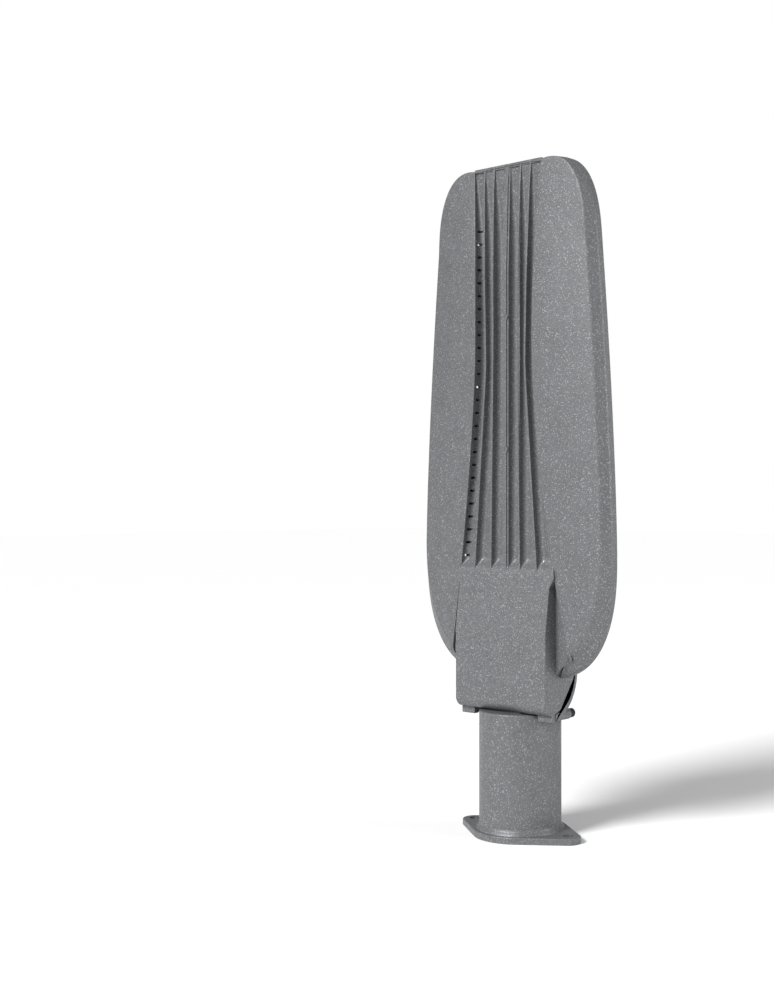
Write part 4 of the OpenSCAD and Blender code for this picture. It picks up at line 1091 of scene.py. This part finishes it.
class LAMP_OT_stage(bpy.types.Operator):
    """Set up the camera, the floor and the soft studio light"""

    bl_idname = "lamp.stage"
    bl_label = "Camera and Studio"

    def execute(self, context):
        scene = context.scene
        scene.view_settings.view_transform = "Standard"
        turn, distance, height = math.radians(40), 1.147, 0.2751
        data = bpy.data.cameras.new("camera")
        data.sensor_width, data.lens, data.shift_x = 36.0, 50.0, -0.1333
        data.clip_start, data.clip_end = 0.01, 100
        camera = bpy.data.objects.new("camera", data)
        camera.location = (distance * math.sin(turn), -distance * math.cos(turn), height)
        camera.rotation_euler = (math.pi / 2, 0, turn)
        scene.collection.objects.link(camera)
        scene.camera = camera

        floor = skin_over("studio_floor", [
            [(x * 9000, y * 9000, z) for x, y in ((-1, -1), (1, -1), (1, 1), (-1, 1))]
            for z in (-20, -0.05)])
        pale = finish_of().floor
        paint = finish_with(
            "studio_paint", shared("fine_wear", fine_wear_group),
            {"Base": (*pale, 1), "Worn": (*[c * 0.985 for c in pale], 1), "Scale": 6.0,
             "Stretch": (1, 1, 1), "Rough Low": 0.85, "Rough High": 0.95},
            0.0, 0.0001, Specular_IOR_Level=0.1)
        floor.data.materials.append(paint)

        sun_light("key", -6, 36, 4.1, 22)
        area_light("light_rim", 114, 12, 1.6, 0.8, 12)

        world = bpy.data.worlds.new("studio")
        world.use_nodes = True
        tree = world.node_tree
        tree.nodes.clear()
        out = tree.nodes.new("ShaderNodeOutputWorld")
        fill = add(tree.nodes, "ShaderNodeBackground", Color=(1, 1, 1, 1), Strength=0.32)
        seen = add(tree.nodes, "ShaderNodeBackground", Color=(1, 1, 1, 1), Strength=1.0)
        switch = tree.nodes.new("ShaderNodeMixShader")
        path = tree.nodes.new("ShaderNodeLightPath")
        tree.links.new(path.outputs["Is Camera Ray"], switch.inputs[0])
        tree.links.new(fill.outputs[0], switch.inputs[1])
        tree.links.new(seen.outputs[0], switch.inputs[2])
        tree.links.new(switch.outputs[0], out.inputs["Surface"])
        scene.world = world
        return {"FINISHED"}


class LAMP_OT_casting(bpy.types.Operator):
    """Build the finned head casting"""

    bl_idname = "lamp.casting"
    bl_label = "Head Casting"

    def execute(self, context):
        head = casting(shape_of())
        shade(head, 30)
        settle(head, "head_casting", "head", "head_coat", coat_finish(finish_of()), "housing")
        return {"FINISHED"}


class LAMP_OT_spigot(bpy.types.Operator):
    """Build the pole spigot with its flange and pivot ears"""

    bl_idname = "lamp.spigot"
    bl_label = "Pole Spigot"

    def execute(self, context):
        spigot = pole_spigot()
        shade(spigot, 30)
        settle(spigot, "pole_spigot", "base", "spigot_coat", coat_finish(finish_of()), "spigot")
        return {"FINISHED"}


class LAMP_OT_cover(bpy.types.Operator):
    """Build the hinged cover of the driver box"""

    bl_idname = "lamp.cover"
    bl_label = "Gear Cover"

    def execute(self, context):
        cover = gear_cover()
        shade(cover, 30)
        settle(cover, "gear_cover", "cover", "head_coat", coat_finish(finish_of()), "cover")
        return {"FINISHED"}


class LAMP_OT_cover_screws(bpy.types.Operator):
    """Build the two black screws of the cover"""

    bl_idname = "lamp.cover_screws"
    bl_label = "Cover Screws"

    def execute(self, context):
        for name, side in (("cover_screw_left", -1), ("cover_screw_right", 1)):
            screw = cap_screw(side)
            shade(screw, 35)
            settle(screw, name.replace("screw", "cap_screw"), name, "black_steel",
                   small_finish("black_oxide"), name)
        return {"FINISHED"}


class LAMP_OT_kept_nodes(bpy.types.Operator):
    """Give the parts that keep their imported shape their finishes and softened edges"""

    bl_idname = "lamp.kept_nodes"
    bl_label = "Inner and Front Parts"

    def execute(self, context):
        for finish, nodes in KEPT_NODES.items():
            material = coat_finish(finish_of()) if finish == "coat" else small_finish(finish)
            for name, width in nodes.items():
                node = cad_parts[name]
                node.data.materials.clear()
                node.data.materials.append(material)
                if width:
                    edges = node.modifiers.new("soft_edges", "BEVEL")
                    edges.width, edges.segments = width * MM, 2
                    edges.limit_method, edges.angle_limit = "ANGLE", math.radians(35)
        return {"FINISHED"}


class LAMP_PT_panel(bpy.types.Panel):
    """Steps and settings of the street lamp head"""

    bl_idname = "LAMP_PT_panel"
    bl_label = "Lamp Head"
    bl_space_type = "VIEW_3D"
    bl_region_type = "UI"
    bl_category = "Lamp Head"

    def draw(self, context):
        layout = self.layout
        for group in (shape_of(), finish_of()):
            box = layout.box()
            for name in type(group).__annotations__:
                box.prop(group, name)
        for step in STEPS:
            layout.operator(step.bl_idname)


STEPS = (LAMP_OT_stage, LAMP_OT_casting, LAMP_OT_spigot, LAMP_OT_cover, LAMP_OT_cover_screws,
         LAMP_OT_kept_nodes)
CLASSES = (LampShape, LampFinish, *STEPS, LAMP_PT_panel)


def register():
    for cls in CLASSES:
        bpy.utils.register_class(cls)
    bpy.types.Scene.lamp_shape = PointerProperty(type=LampShape)
    bpy.types.Scene.lamp_finish = PointerProperty(type=LampFinish)


def unregister():
    del bpy.types.Scene.lamp_finish
    del bpy.types.Scene.lamp_shape
    for cls in reversed(CLASSES):
        bpy.utils.unregister_class(cls)


def main():
    register()
    for step in STEPS:
        module, name = step.bl_idname.split(".")
        getattr(getattr(bpy.ops, module), name)()


if __name__ == "__main__":
    main()
